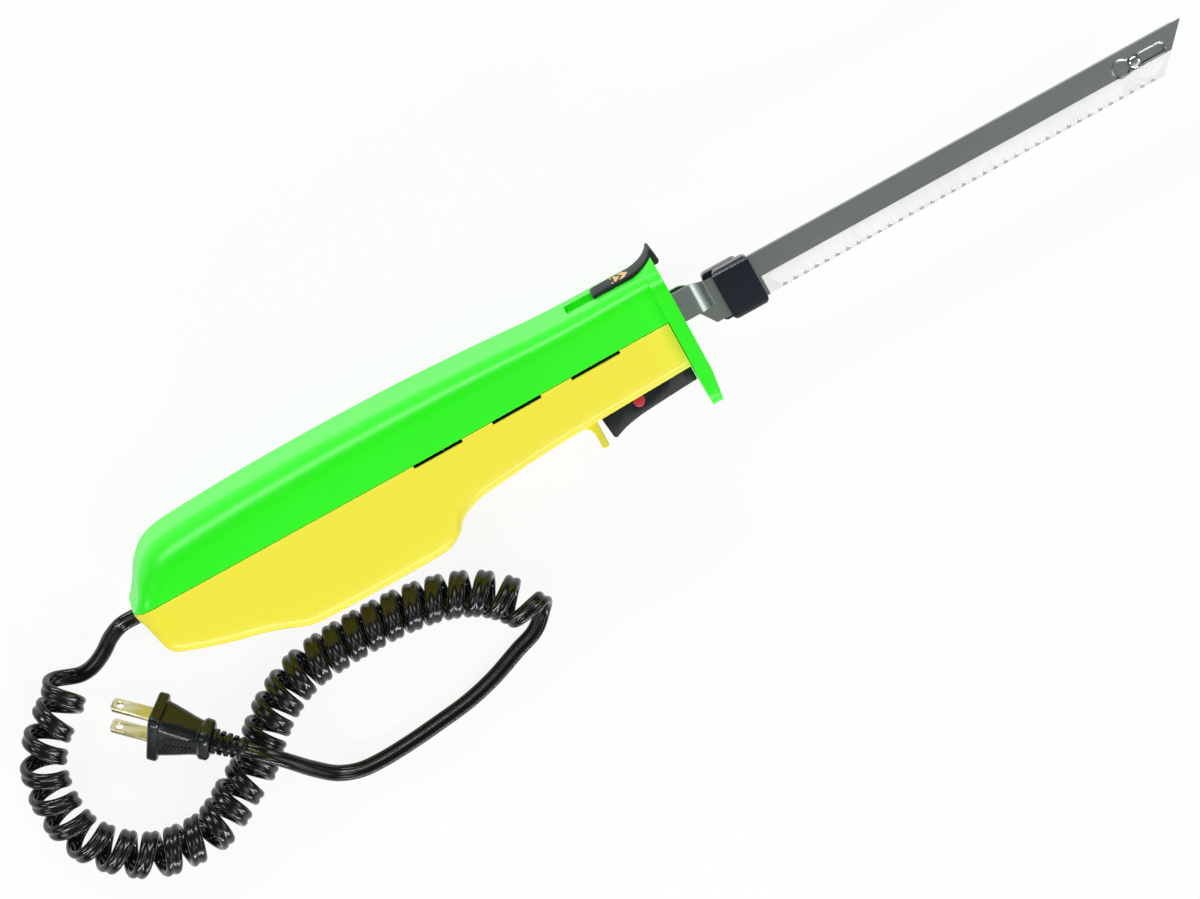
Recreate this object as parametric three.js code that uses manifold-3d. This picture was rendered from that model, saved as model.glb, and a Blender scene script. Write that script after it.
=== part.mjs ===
// An electric fillet knife lying on its side, with its curly cord and its two-pin plug. Millimetres, +Z up.
// In the knife's group x runs from the rear of the handle to the blade tips, y from the heel to the thumb
// slide and z across the handle from its middle plane. Near is the side that faces up, far the one below.
import * as THREE from "three";
import { mergeVertices } from "three/addons/utils/BufferGeometryUtils.js";
import Module from "manifold-3d";

const wasm = await Module();
wasm.setup();

// Clearances
const SEAT_GAP = 0.3; // between pieces that sit on or in each other
const RUN_GAP = 0.4; // around what turns or slides

// Handle shells, measured from the rear of the handle, the parting line and the middle plane
const GUARD_BACK = 237.5; // rear of the handle to the finger guard
const HALF_WIDTH = 26;
const FRONT_HALF_WIDTH = 22;
const TAPER_START = 130; // where the sides start to draw in
const REAR_CORNER = 10.5; // radius of the rear corners, seen from above
const WALL = 2.4;
const REAR_WALL = 7; // where the hollow starts
const CROWN_HEIGHT = 24.2; // highest point of the back
const FRONT_HEIGHT = 19.5; // back at the guard
const HEEL_DEPTH = 37.5;
const FRONT_DEPTH = 20.5; // belly at the guard
const SHOULDER_REAR = 14; // rounding of the back along its edges
const SHOULDER_FRONT = 6;
const KEEL_ROUND = 6; // rounding of the belly along its edges
const ORIGIN_X = 88; // the point of the far side that is the part's origin
const ORIGIN_Y = -14;
const CROWN_OUTLINE = [
  [0, 0.7],
  [1.3, 1.4],
  [3.4, 4],
  [5.4, 7.2],
  [7.2, 10.5],
  [9.5, 14],
  [13.2, 17.9],
  [18, 20.7],
  [24, 22.2],
  [30, 22.7],
  [55, 23.8],
  [90, CROWN_HEIGHT],
  [133, 23.4],
  [165, 21.9],
  [196, 20],
  [GUARD_BACK, FRONT_HEIGHT],
];
const KEEL_OUTLINE = [
  [0, 1.4],
  [1, 4],
  [2.8, 10.2],
  [4.7, 17],
  [6, 19.2],
  [8, 20.7],
  [10.5, 21.6],
  [18, 24.3],
  [29, 27.7],
  [39, 30.1],
  [47, 32.5],
  [55, 35.7],
  [59, 37],
  [64, HEEL_DEPTH],
  [115, HEEL_DEPTH],
  [121, 36.8],
  [127, 33.5],
  [130, 29.8],
  [135, 27],
  [141, 25.2],
  [157, FRONT_DEPTH + 3.1],
  [172, FRONT_DEPTH + 1.9],
  [196, FRONT_DEPTH + 1.1],
  [GUARD_BACK, FRONT_DEPTH],
];

// Finger guard
const GUARD_THICK = 6;
const GUARD_HALF_WIDTH = 26;
const GUARD_DROP = 37.6; // below the parting line
const GUARD_ROUND = 7;
const GUARD_RAKE_DROP = 24; // below this the guard's front leans back
const GUARD_RAKE = 1.7; // by so much at its foot
const FLARE_RISE = 4.2; // the back sweeps up to the guard's front edge on both sides of the slide
const FLARE_LENGTH = 6; // on the back, behind the guard
const FLARE_HALF_WIDTH = 17;

// Vent notches in the rim of the lower shell
const VENT_STARTS = [123.4, 158.5, 193.7];
const VENT_LENGTH = 21.6;
const VENT_HEIGHT = 1.3;

// Prong behind the trigger
const PRONG_BACK = 46; // from the guard to the rear face of the prong
const PRONG_THICK = 3;
const PRONG_DROP = 33.2;
const PRONG_HALF_WIDTH = 9;
const PRONG_FILLET = 4; // runs from the belly into the prong's rear face

// Screws that hold the shells together
const SCREW_REAR_X = 22;
const SCREW_FRONT_X = 137;
const SCREW_REAR_INSET = 11; // from the handle's side
const SCREW_FRONT_INSET = 9;
const SCREW_R = 1.4;
const SCREW_HEAD_R = 3;
const SCREW_HEAD_HEIGHT = 2;
const SCREW_SINK = 5; // head below the belly
const SCREW_BITE = 9; // length in the upper shell
const BOSS_R = 4.2;

// Motor
const MOTOR_DROP = 9; // axis below the parting line
const STACK_REAR = 66;
const STACK_LENGTH = 28;
const STACK_HALF = 20;
const STACK_YOKE = 3.5;
const STACK_SIDE = 4.5;
const BORE_R = 12.3;
const AIR_GAP = 0.6;
const SHOE_THICK = 0.8; // least thickness of a pole shoe
const SHOE_HALF = 10;
const NECK_HALF = 8;
const COIL_WIDTH = 5.5; // past the stack's ends
const COIL_ROOM = 1.7; // from a coil to the side of its window
const CORE_SLOTS = 12;
const SLOT_WIDTH = 2.6;
const SLOT_DEPTH = 4.6;
const WINDING_OVERHANG = 6;
const SHAFT_R = 2.4;
const COMMUTATOR_R = 7.5;
const COMMUTATOR_LENGTH = 10;
const COMMUTATOR_GAP = 1.2; // to the winding
const COMMUTATOR_BARS = 12;
const BAR_GROOVE = 0.7;
const FAN_R = 17;
const FAN_LENGTH = 6;
const FAN_DISC = 1.3;
const FAN_BLADES = 8;
const FAN_BLADE_THICK = 1.4;
const FAN_HUB_R = 5;
const FAN_GAP = 1;
const BRACKET_THICK = 3;
const BRACKET_HALF_WIDTH = 18;
const BRACKET_HALF_HEIGHT = 17;
const BRACKET_GAP = 8; // to the commutator
const BEARING_R = 5.5;
const BEARING_LENGTH = 5;
const SHAFT_TAIL = 1.5; // shaft past the rear bearing
const BRUSH_SIZE = 4.4;
const BRUSH_LENGTH = 7.5;
const HOLDER_WALL = 1.5;
const HOLDER_SETBACK = 3; // from the commutator to the holder's mouth
const HOLDER_LENGTH = 10;

// Worm drive
const GEAR_X = 165;
const GEAR_MODULE = 1;
const GEAR_TEETH = 20;
const GEAR_HALF_THICK = 3.5;
const WORM_PITCH_R = 3.5;
const WORM_LENGTH = 25;
const TOOTH_ADDENDUM = 0.85;
const TOOTH_DEDENDUM = 1.2;
const TOOTH_THICK = 1.05; // at the pitch line
const THREAD_THICK = 1;
const AXLE_R = 2;
const CRANK = 3.6; // crank radius, half the stroke of a blade
const CRANK_PIN_R = 2;
const BLADE_SHIFT = 1.85; // near blade ahead of mid stroke, and far blade behind it, at rest
const FRAME_PLATE = 2;
const FRAME_SIDE_GAP = 2; // from a drive arm to the frame's plate
const FRAME_TOP = 10;
const FRAME_BOTTOM = 14.5; // below the parting line
const FRAME_WALL = 2.5;
const BUSH_R = 3.4;
const SHAFT_END_R = 2;

// Drive arms
const ARM_INNER = 5; // from the middle plane to the yoke plate
const ARM_THICK = 2.5;
const YOKE_WALL = 3;
const NECK_BOTTOM = 3.5; // below the parting line
const NECK_TOP = 6;
const SOCKET_SETBACK = 5.5; // from the guard to the socket's mouth at mid stroke
const SOCKET_LENGTH = 27;
const SOCKET_INNER = 1;
const SOCKET_WALL = 1.3;
const SOCKET_FLOOR = 2.5;

// Blades
const BLADE_THICK = 1.2;
const BLADE_GAP = 0.3; // between the two blades
const BLADE_REACH = 225; // guard's front to the tip at mid stroke
const BLADE_TOP = 3.7;
const BLADE_BOTTOM = 13.8; // below the parting line
const TIP_CUT = 16; // length of the slanting tip
const BEVEL_HEIGHT = 8;
const EDGE_THICK = 0.35;
const TOOTH_PITCH = 4.7;
const TOOTH_NOTCH = 0.7;
const SHANK_Z = 4; // middle of a shank from the middle plane
const SHANK_TOP = 5.8;
const SHANK_BOTTOM = 6.5;
const SHANK_REACH = 5.4; // guard's front to where the shank bends in
const BEND_LENGTH = 7.6;
const HEEL_SLOPE = 4.5;
const CLIP_SETBACK = 15.7; // guard's front to the clip
const CLIP_LENGTH = 15.7;
const CLIP_TOP = 5.8;
const CLIP_BOTTOM = 15;
const CLIP_OUTER = 7; // from the middle plane
const CLIP_ROUND = 2;
const BEVEL_SETBACK = 1.5; // from the clip to the start of the bevel
const KEYHOLE_SETBACK = 29.6; // from the tip to the middle of the keyhole's round end
const KEYHOLE_R = 3.4;
const KEYHOLE_SLOT = 4; // height of its slot
const KEYHOLE_DROP = 3; // below the parting line
const RIVET_SETBACK = 19.8; // from the far blade's tip
const RIVET_R = 1.4;
const RIVET_HEAD_R = 2.5;
const RIVET_HEAD = 1;

// Trigger and switch
const TRIGGER_LENGTH = 40.7;
const TRIGGER_HALF_WIDTH = 8.5;
const TRIGGER_FRONT_GAP = 0.5;
const TRIGGER_FRONT_DROP = 7.5; // below the belly
const TRIGGER_TIP_DROP = 12.5;
const TRIGGER_SIDE_GAP = 0.5;
const TRIGGER_RISE = 3; // rear end of the trigger above the belly
const PIVOT_SETBACK = 5.5; // from the guard
const PIVOT_RISE = 4.3; // above the belly
const PIVOT_R = 1.3;
const LUG_R = 2.5;
const EAR_THICK = 2.7;
const PIN_HOLE_SPARE = 1; // hole past each end of the pin
const TRIGGER_TRAVEL = 7; // degrees
const LOCK_SETBACK = 24.7; // from the guard
const LOCK_DROP = 3.8; // below the belly
const LOCK_R = 2.35;
const LOCK_STAND = 1.2; // button proud of the trigger on the near side
const LOCK_TRAVEL = 1.2;
const SWITCH_LENGTH = 29.5;
const SWITCH_HALF_WIDTH = 9;
const SWITCH_DROP = 0.9; // below the drive arms' sockets
const SWITCH_SHALLOW = 3;
const SWITCH_DEEP = 7.6;
const SWITCH_DEEP_LENGTH = 17.5;
const PLUNGER_SETBACK = 14; // behind the pivot
const PLUNGER_R = 1.8;
const PLUNGER_LENGTH = 5;
const TRIGGER_SPRING_SETBACK = 29; // behind the pivot
const TRIGGER_SPRING_R = 2.2;
const TRIGGER_POCKET = 5.5;

// Thumb slide
const SLIDE_TRAVEL = 6;
const SLIDE_HALF_WIDTH = 7.5;
const SLIDE_SETBACK = 21; // guard's back to the rear of the slide
const SLIDE_STAND = 1.7; // above the back
const SLIDE_SINK = 2; // into its channel
const LIP_HEIGHT = 7; // above the back
const LIP_REACH = 8.6; // past the guard's back
const CHANNEL_TAIL = 6; // channel past the slide's travel
const CHANNEL_FLOOR = 3.2; // thickness under the channel
const LEG_SETBACK = 15.5;
const LEG_LENGTH = 5;
const LEG_HALF_WIDTH = 1.8;
const LATCH_RISE = 1.5; // above the arms
const LATCH_THICK = 2;
const LATCH_LENGTH = 22;
const LATCH_HALF_WIDTH = 7;
const RELEASE_SPRING_R = 2.2;
const RELEASE_SPRING_LENGTH = 9.5;

// Cord and plug
const CORD_WIDTH = 6.6;
const CORD_THICK = 3.3;
const CORD_EXIT_DROP = 4.3; // below the parting line
const CURL_R = 7.9; // middle of the cord in a curl
const CURLS = 30;
const CURL_STEPS = 8;
const CURL_FIRST_PITCH = 11; // spacing of the curls at the handle, against the last one at the plug
const CURL_LAST_PITCH = 8.8;
const LAST_LOOP = 5.5; // how far the last curl opens out along the coil
const LOOP_SHARE = 0.75; // and how much of it does
const CORD_REST = CORD_THICK / 2 + 0.15; // middle of a cord that lies on the table
const LEAD_ROUTE = [
  [-12.4, -7.2, 21.5],
  [-19.6, -13.4, 13.5],
  [-26.2, -17.6, 6.5],
];
const CURL_ROUTE = [
  [-38.4, -16.6],
  [-44.6, -24.4],
  [-53.7, -31.5],
  [-61.5, -41.6],
  [-64.5, -52.8],
  [-64.6, -65.1],
  [-62.1, -75.1],
  [-57.2, -82.7],
  [-48.7, -90.9],
  [-38.9, -96.3],
  [-27.3, -98.1],
  [-16.7, -97.8],
  [-7.1, -93.7],
  [0.6, -88.9],
  [8.9, -84.4],
  [15.4, -78.9],
  [20.2, -74.3],
  [27.4, -68.3],
  [37.8, -62.3],
  [48.1, -58.9],
  [58.2, -57.7],
  [68.4, -57.1],
  [87.5, -57.3],
  [97.3, -58.3],
  [106.2, -60.1],
  [115.2, -63.3],
  [123.4, -68],
  [130.5, -75],
  [135.5, -82.5],
];
const TAIL_ROUTE = [
  [124.3, -95.3, CORD_REST],
  [109.7, -100.8, CORD_REST],
  [96.8, -104.1, CORD_REST],
  [81.8, -106.1, CORD_REST],
  [66.5, -107.6, CORD_REST],
  [55.2, -108, CORD_REST + 0.3],
  [46.3, -107.2, CORD_REST + 1],
  [38.1, -103.5, CORD_REST + 4],
  [30.2, -95, 13.5],
  [22.6, -84.5, 22.5],
];
const PLUG_FACE = [-16.2, -48.6, 13.3]; // middle of the plug's face over the table
const PLUG_TAIL = [11.5, -72.9, 24.2]; // where the cord enters its sleeve
const PLUG_ROLL = 40; // degrees about its own axis
const PLUG_LENGTH = 24.5;
const PLUG_FLANGE = 4.2;
const PLUG_FLANGE_WIDTH = 25;
const PLUG_FLANGE_DEPTH = 18;
const PLUG_WIDTH = 19;
const PLUG_DEPTH = 15;
const PLUG_NECK_WIDTH = 13.5;
const PLUG_NECK_DEPTH = 11.5;
const PLUG_COLLAR = 4;
const PLUG_COLLAR_WIDTH = 16;
const PLUG_COLLAR_DEPTH = 13.5;
const PRONG_PIN_SPACING = 12.7;
const PRONG_PIN_WIDTH = 6.35;
const PRONG_PIN_THICK = 1.5;
const PRONG_PIN_LENGTH = 17.2;
const PRONG_PIN_HOLE_R = 1.6;
const PRONG_PIN_HOLE_SETBACK = 3.4;
const SLEEVE_R = 4.6;
const SLEEVE_END_R = 3.9;
const SLEEVE_RIBS = 4;
const SLEEVE_GROOVE = 0.9;
const GROMMET_REAR = 0.6;
const GROMMET_LENGTH = 10.5;
const GROMMET_HALF_WIDTH = 2.7;
const GROMMET_HALF_HEIGHT = 3.8;
const WIRE_R = 1.1;
const WIRE_DROP = 6.8; // from the inside of the back to a wire
const WIRE_SETOFF = 4.5; // from the drive frame to a wire

// What the driving sizes give
const SCREW_PLACES = [1, -1].flatMap((side) => [
  [SCREW_REAR_X, side * (HALF_WIDTH - SCREW_REAR_INSET)],
  [SCREW_FRONT_X, side * (HALF_WIDTH - SCREW_FRONT_INSET)],
]);
const SPLIT = SEAT_GAP / 2;
const GROMMET_FRONT = GROMMET_REAR + GROMMET_LENGTH;
const GUARD_FRONT = GUARD_BACK + GUARD_THICK;
const SHELL_FRONT = GUARD_BACK - SEAT_GAP;
const MOTOR_Y = -MOTOR_DROP;
const STACK_FRONT = STACK_REAR + STACK_LENGTH;
const CORE_R = BORE_R - AIR_GAP;
const COIL_FLOOR = BORE_R + SHOE_THICK;
const COIL_CEILING = STACK_HALF - STACK_YOKE;
const WINDOW_HALF = STACK_HALF - STACK_SIDE;
const COMMUTATOR_FRONT = STACK_REAR - SEAT_GAP - WINDING_OVERHANG - COMMUTATOR_GAP;
const COMMUTATOR_REAR = COMMUTATOR_FRONT - COMMUTATOR_LENGTH;
const BRUSH_X = (COMMUTATOR_FRONT + COMMUTATOR_REAR) / 2;
const BRACKET_FRONT = COMMUTATOR_REAR - BRACKET_GAP;
const BRACKET_REAR = BRACKET_FRONT - BRACKET_THICK;
const BEARING_X = (BRACKET_FRONT + BRACKET_REAR) / 2;
const FAN_REAR = STACK_FRONT + SEAT_GAP + WINDING_OVERHANG + FAN_GAP;
const HOLDER_INNER = COMMUTATOR_R + HOLDER_SETBACK;
const HOLDER_HALF = BRUSH_SIZE / 2 + SEAT_GAP + HOLDER_WALL;
const GEAR_PITCH_R = (GEAR_MODULE * GEAR_TEETH) / 2;
const GEAR_Y = MOTOR_Y + WORM_PITCH_R + GEAR_PITCH_R;
const WORM_LEAD = Math.PI * GEAR_MODULE;
const ARM_OUTER = ARM_INNER + ARM_THICK;
const YOKE_HALF_LENGTH = 2 * CRANK + CRANK_PIN_R + RUN_GAP;
const YOKE_HALF_HEIGHT = CRANK + CRANK_PIN_R + RUN_GAP;
const ARM_RUN = YOKE_HALF_LENGTH + YOKE_WALL + CRANK + 2 * RUN_GAP; // what an arm's yoke needs each way
const FRAME_INNER = ARM_OUTER + FRAME_SIDE_GAP;
const FRAME_OUTER = FRAME_INNER + FRAME_PLATE;
const FRAME_REAR = GEAR_X - ARM_RUN - FRAME_WALL;
const FRAME_FRONT = GEAR_X + ARM_RUN + FRAME_WALL;
const SHAFT_REAR = BEARING_X - BEARING_LENGTH / 2 - SHAFT_TAIL;
const SOCKET_FRONT = GUARD_BACK - SOCKET_SETBACK;
const SOCKET_REAR = SOCKET_FRONT - SOCKET_LENGTH;
const SOCKET_TOP = SHANK_TOP + SEAT_GAP + SOCKET_WALL;
const SOCKET_BOTTOM = SHANK_BOTTOM + SEAT_GAP + SOCKET_WALL;
const BLADE_INNER = BLADE_GAP / 2;
const BLADE_OUTER = BLADE_INNER + BLADE_THICK;
const BLADE_TIP = GUARD_FRONT + BLADE_REACH;
const CLIP_REAR = GUARD_FRONT + CLIP_SETBACK;
const CLIP_FRONT = CLIP_REAR + CLIP_LENGTH;
const BEND_START = GUARD_FRONT + SHANK_REACH;
const BEND_END = BEND_START + BEND_LENGTH;
const PIVOT_X = GUARD_BACK - PIVOT_SETBACK;
const PIVOT_Y = -(FRONT_DEPTH - PIVOT_RISE);
const TRIGGER_FRONT = GUARD_BACK - TRIGGER_FRONT_GAP;
const TRIGGER_REAR = TRIGGER_FRONT - TRIGGER_LENGTH;
const SWITCH_TOP = SOCKET_BOTTOM + SWITCH_DROP; // below the parting line
const SWITCH_FRONT = PIVOT_X - LUG_R - 2 * RUN_GAP;
const SWITCH_REAR = SWITCH_FRONT - SWITCH_LENGTH;
const SLOT_HALF = TRIGGER_HALF_WIDTH + TRIGGER_SIDE_GAP;
const PIN_END = SLOT_HALF + SEAT_GAP + EAR_THICK;
const CHANNEL_Y = FRONT_HEIGHT - SLIDE_SINK - SEAT_GAP;
const SLIDE_REAR = GUARD_BACK - SLIDE_SETBACK;
const LATCH_BOTTOM = SOCKET_TOP + LATCH_RISE;
const LATCH_TOP = LATCH_BOTTOM + LATCH_THICK;
const LEG_REAR = GUARD_BACK - LEG_SETBACK - LEG_LENGTH;
const LATCH_REAR = LEG_REAR + LEG_LENGTH - LATCH_LENGTH / 2 - LEG_LENGTH;
const PRONG_REAR = GUARD_BACK - PRONG_BACK;

// Geometry helpers

// A closed geometry as a solid that can be joined and cut.
function solid(geometry) {
  const loose = geometry.index ? geometry.toNonIndexed() : geometry;
  const bare = new THREE.BufferGeometry().setAttribute("position", loose.getAttribute("position"));
  const merged = mergeVertices(bare, 1e-4);
  const mesh = new wasm.Mesh({
    numProp: 3,
    vertProperties: merged.attributes.position.array,
    triVerts: new Uint32Array(merged.index.array),
  });
  return new wasm.Manifold(mesh);
}

// The surface of a solid.
function surface(body) {
  const mesh = body.getMesh();
  const geometry = new THREE.BufferGeometry();
  geometry.setAttribute("position", new THREE.BufferAttribute(mesh.vertProperties, 3));
  geometry.setIndex(new THREE.BufferAttribute(mesh.triVerts, 1));
  geometry.computeVertexNormals();
  return geometry;
}

// All the solids in one.
function join(...bodies) {
  return bodies.reduce((whole, body) => whole.add(body));
}

// The first solid without the others.
function cut(body, ...tools) {
  return tools.reduce((rest, tool) => rest.subtract(tool), body);
}

function box(x0, x1, y0, y1, z0, z1) {
  const geometry = new THREE.BoxGeometry(x1 - x0, y1 - y0, z1 - z0);
  return solid(geometry.translate((x0 + x1) / 2, (y0 + y1) / 2, (z0 + z1) / 2));
}

// A rod along x, y or z between two places on that axis, through a point of the other two.
function rod(axis, radius, from, to, [a, b], sides = 16) {
  const geometry = new THREE.CylinderGeometry(radius, radius, to - from, sides);
  const middle = (from + to) / 2;
  if (axis === "x") geometry.rotateZ(-Math.PI / 2).translate(middle, a, b);
  if (axis === "y") geometry.translate(a, middle, b);
  if (axis === "z") geometry.rotateX(Math.PI / 2).translate(a, b, middle);
  return solid(geometry);
}

// A flat piece: an outline in x and y, or a shape, with its thickness from z0 to z1.
function plate(outline, z0, z1, curveSegments = 6) {
  const shape = Array.isArray(outline)
    ? new THREE.Shape(outline.map(([x, y]) => new THREE.Vector2(x, y)))
    : outline;
  const options = { depth: z1 - z0, bevelEnabled: false, curveSegments };
  return solid(new THREE.ExtrudeGeometry(shape, options).translate(0, 0, z0));
}

// An outline in y (its second number) and z (its first) pushed along x.
function bar(outline, x0, x1, curveSegments = 6) {
  const shape = Array.isArray(outline)
    ? new THREE.Shape(outline.map(([z, y]) => new THREE.Vector2(-z, y)))
    : outline;
  const options = { depth: x1 - x0, bevelEnabled: false, curveSegments };
  return solid(new THREE.ExtrudeGeometry(shape, options).rotateY(Math.PI / 2).translate(x0, 0, 0));
}

// A rounded rectangle as a shape.
function roundedRectangle(x0, x1, y0, y1, r) {
  const shape = new THREE.Shape();
  shape.moveTo(x0 + r, y0);
  shape.lineTo(x1 - r, y0).absarc(x1 - r, y0 + r, r, -Math.PI / 2, 0);
  shape.lineTo(x1, y1 - r).absarc(x1 - r, y1 - r, r, 0, Math.PI / 2);
  shape.lineTo(x0 + r, y1).absarc(x0 + r, y1 - r, r, Math.PI / 2, Math.PI);
  shape.lineTo(x0, y0 + r).absarc(x0 + r, y0 + r, r, Math.PI, 1.5 * Math.PI);
  return shape;
}

// A skin over rings of as many points each, closed at both ends, with its faces outward.
// flat gives the two numbers of a ring's point that fill its end.
function loft(rings, flat) {
  const count = rings[0].length;
  const positions = rings.flat().flatMap((point) => point.toArray());
  const faces = [];
  for (let i = 0; i + 1 < rings.length; i++) {
    for (let k = 0; k < count; k++) {
      const a = i * count + k;
      const b = i * count + ((k + 1) % count);
      faces.push(a, b, b + count, a, b + count, a + count);
    }
  }
  const last = (rings.length - 1) * count;
  for (const [p, q, r] of endFaces(rings[0], flat)) faces.push(r, q, p);
  for (const [p, q, r] of endFaces(rings.at(-1), flat)) faces.push(last + p, last + q, last + r);
  const geometry = new THREE.BufferGeometry();
  geometry.setAttribute("position", new THREE.Float32BufferAttribute(positions, 3));
  geometry.setIndex(signedVolume(positions, faces) < 0 ? faces.reverse() : faces);
  return geometry;
}

// Triangles that fill a ring, turned the same way as its points.
function endFaces(ring, flat) {
  const points = ring.map((point) => new THREE.Vector2(...flat(point)));
  const triangles = THREE.ShapeUtils.triangulateShape(points, []);
  const turn = ([a, b, c]) => points[b].clone().sub(points[a]).cross(points[c].clone().sub(points[a]));
  const sense = Math.sign(THREE.ShapeUtils.area(points));
  return triangles.map((t) => (Math.sign(turn(t)) === sense ? t : [t[0], t[2], t[1]]));
}

function signedVolume(positions, faces) {
  const at = (i) => new THREE.Vector3().fromArray(positions, 3 * i);
  let volume = 0;
  for (let i = 0; i < faces.length; i += 3) {
    volume += at(faces[i]).dot(at(faces[i + 1]).cross(at(faces[i + 2])));
  }
  return volume;
}

const inYZ = (point) => [point.z, point.y];
const inXY = (point) => [point.x, point.y];

// A tube over places on a path, each with the directions that its section's two numbers run along.
function sweep(places, section) {
  const rings = places.map(({ at, across, up }) =>
    section.map(([a, b]) => at.clone().addScaledVector(across, a).addScaledVector(up, b)),
  );
  const corners = new Map(rings.flat().map((point, i) => [point, section[i % section.length]]));
  return loft(rings, (point) => corners.get(point));
}

// An oval section: width and thickness, with that many sides.
function oval(width, thick, sides) {
  return Array.from({ length: sides }, (_, k) => {
    const angle = (2 * Math.PI * (k + 0.5)) / sides;
    const bulge = Math.sign(Math.cos(angle)) * Math.abs(Math.cos(angle)) ** 0.7;
    return [(width / 2) * bulge, (thick / 2) * Math.sin(angle)];
  });
}

// A round section.
function circle(radius, sides) {
  return Array.from({ length: sides }, (_, k) => {
    const angle = (2 * Math.PI * k) / sides;
    return [radius * Math.cos(angle), radius * Math.sin(angle)];
  });
}

// Places along a smooth curve through points, with the section's first number kept level.
function levelPlaces(points, step) {
  const curve = new THREE.CatmullRomCurve3(points, false, "centripetal");
  const count = Math.max(2, Math.round(curve.getLength() / step));
  return Array.from({ length: count + 1 }, (_, i) => {
    const tangent = curve.getTangentAt(i / count);
    const across = new THREE.Vector3(0, 0, 1).cross(tangent).normalize();
    return { at: curve.getPointAt(i / count), across, up: tangent.clone().cross(across) };
  });
}

// A coil spring along x or y, with plain ends, from one seat to the other.
function spring(axis, radius, from, to, [a, b], turns, wire) {
  const along = axis === "x" ? new THREE.Vector3(1, 0, 0) : new THREE.Vector3(0, 1, 0);
  const side = new THREE.Vector3(0, 0, 1);
  const third = along.clone().cross(side);
  const start = axis === "x" ? new THREE.Vector3(0, a, b) : new THREE.Vector3(a, 0, b);
  const steps = turns * 8;
  const places = Array.from({ length: steps + 1 }, (_, i) => {
    const angle = (2 * Math.PI * turns * i) / steps;
    const reach = THREE.MathUtils.lerp(from + wire, to - wire, i / steps);
    const outward = side.clone().multiplyScalar(Math.cos(angle)).addScaledVector(third, Math.sin(angle));
    const at = start.clone().addScaledVector(along, reach).addScaledVector(outward, radius);
    return { at, across: outward, up: along };
  });
  return sweep(places, circle(wire, 5));
}

// Height of an outline at a place along the handle.
function along(outline, x) {
  const next = outline.findIndex(([place]) => place >= x);
  if (next <= 0) return outline[next === 0 ? 0 : outline.length - 1][1];
  const [x0, y0] = outline[next - 1];
  const [x1, y1] = outline[next];
  return THREE.MathUtils.mapLinear(x, x0, x1, y0, y1);
}

// Half the handle's width at a place along it.
function halfWidth(x) {
  if (x < REAR_CORNER) {
    const back = REAR_CORNER - Math.max(0, x);
    return HALF_WIDTH - REAR_CORNER + Math.sqrt(REAR_CORNER ** 2 - back ** 2);
  }
  if (x < TAPER_START) return HALF_WIDTH;
  return THREE.MathUtils.mapLinear(x, TAPER_START, GUARD_BACK, HALF_WIDTH, FRONT_HALF_WIDTH);
}

// Rounding of the back at a place along the handle.
function shoulder(x) {
  return THREE.MathUtils.mapLinear(x, 0, GUARD_BACK, SHOULDER_REAR, SHOULDER_FRONT);
}

// One half of the handle's section: flat sides, then a rounded back (sense 1) or belly (sense -1).
function halfSection(x, width, height, round, floor, sense) {
  const arc = 5;
  const radius = Math.min(round, 0.9 * width, 0.9 * (height - sense * floor));
  const points = [[width, floor]];
  for (const side of [1, -1]) {
    for (let k = 0; k <= arc; k++) {
      const angle = ((side === 1 ? k : arc - k) * Math.PI) / 2 / arc;
      const z = side * (width - radius + radius * Math.cos(angle));
      points.push([z, sense * (height - radius + radius * Math.sin(angle))]);
    }
  }
  points.push([-width, floor]);
  return points.map(([z, y]) => new THREE.Vector3(x, y, z));
}

// The outside of one shell as a full body.
function shellOutside(outline, round, front, sense) {
  const stations = [...new Set([...outline.map(([x]) => x), TAPER_START])].sort((a, b) => a - b);
  const rings = stations.map((x) => {
    const place = Math.min(x, front);
    return halfSection(place, halfWidth(x), along(outline, x), round(x), sense * SPLIT, sense);
  });
  return solid(loft(rings, inYZ));
}

// The hollow of one shell, open at the parting line. Near the rear it keeps back from the sloping end.
function shellInside(outline, round, front, sense) {
  const middle = outline.map(([x]) => x).filter((x) => x > REAR_WALL + 1 && x < front - 1);
  const stations = [REAR_WALL, ...middle, front];
  const rings = stations.map((x) => {
    const keepBack = WALL * Math.max(0, 1 - x / (6 * REAR_WALL));
    const width = halfWidth(x - keepBack) - WALL;
    const height = along(outline, x - keepBack) - WALL;
    return halfSection(x, width, height, Math.max(1, round(x) - WALL), -sense, sense);
  });
  return solid(loft(rings, inYZ));
}

const meshes = [];

// A named piece with the look of its material.
function piece(name, shape, color, roughness = 0.5, metalness = 0) {
  const geometry = shape.isBufferGeometry ? shape : surface(shape);
  const material = new THREE.MeshStandardMaterial({ color, roughness, metalness });
  const mesh = new THREE.Mesh(geometry, material);
  mesh.name = name;
  meshes.push(mesh);
  return mesh;
}

const GREEN = 0x33eb23;
const YELLOW = 0xf6e84a;
const BLACK = 0x1d2528;
const RED = 0xc7344c;
const STEEL = 0x8a9490;
const BRIGHT = 0xd5d8d6;
const IRON = 0x55595c;
const COPPER = 0xb4683a;
const BRASS = 0xb9b47c;
const NYLON = 0xe8e4d4;
const CARBON = 0x2a2a2c;

// Upper shell with the finger guard

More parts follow.
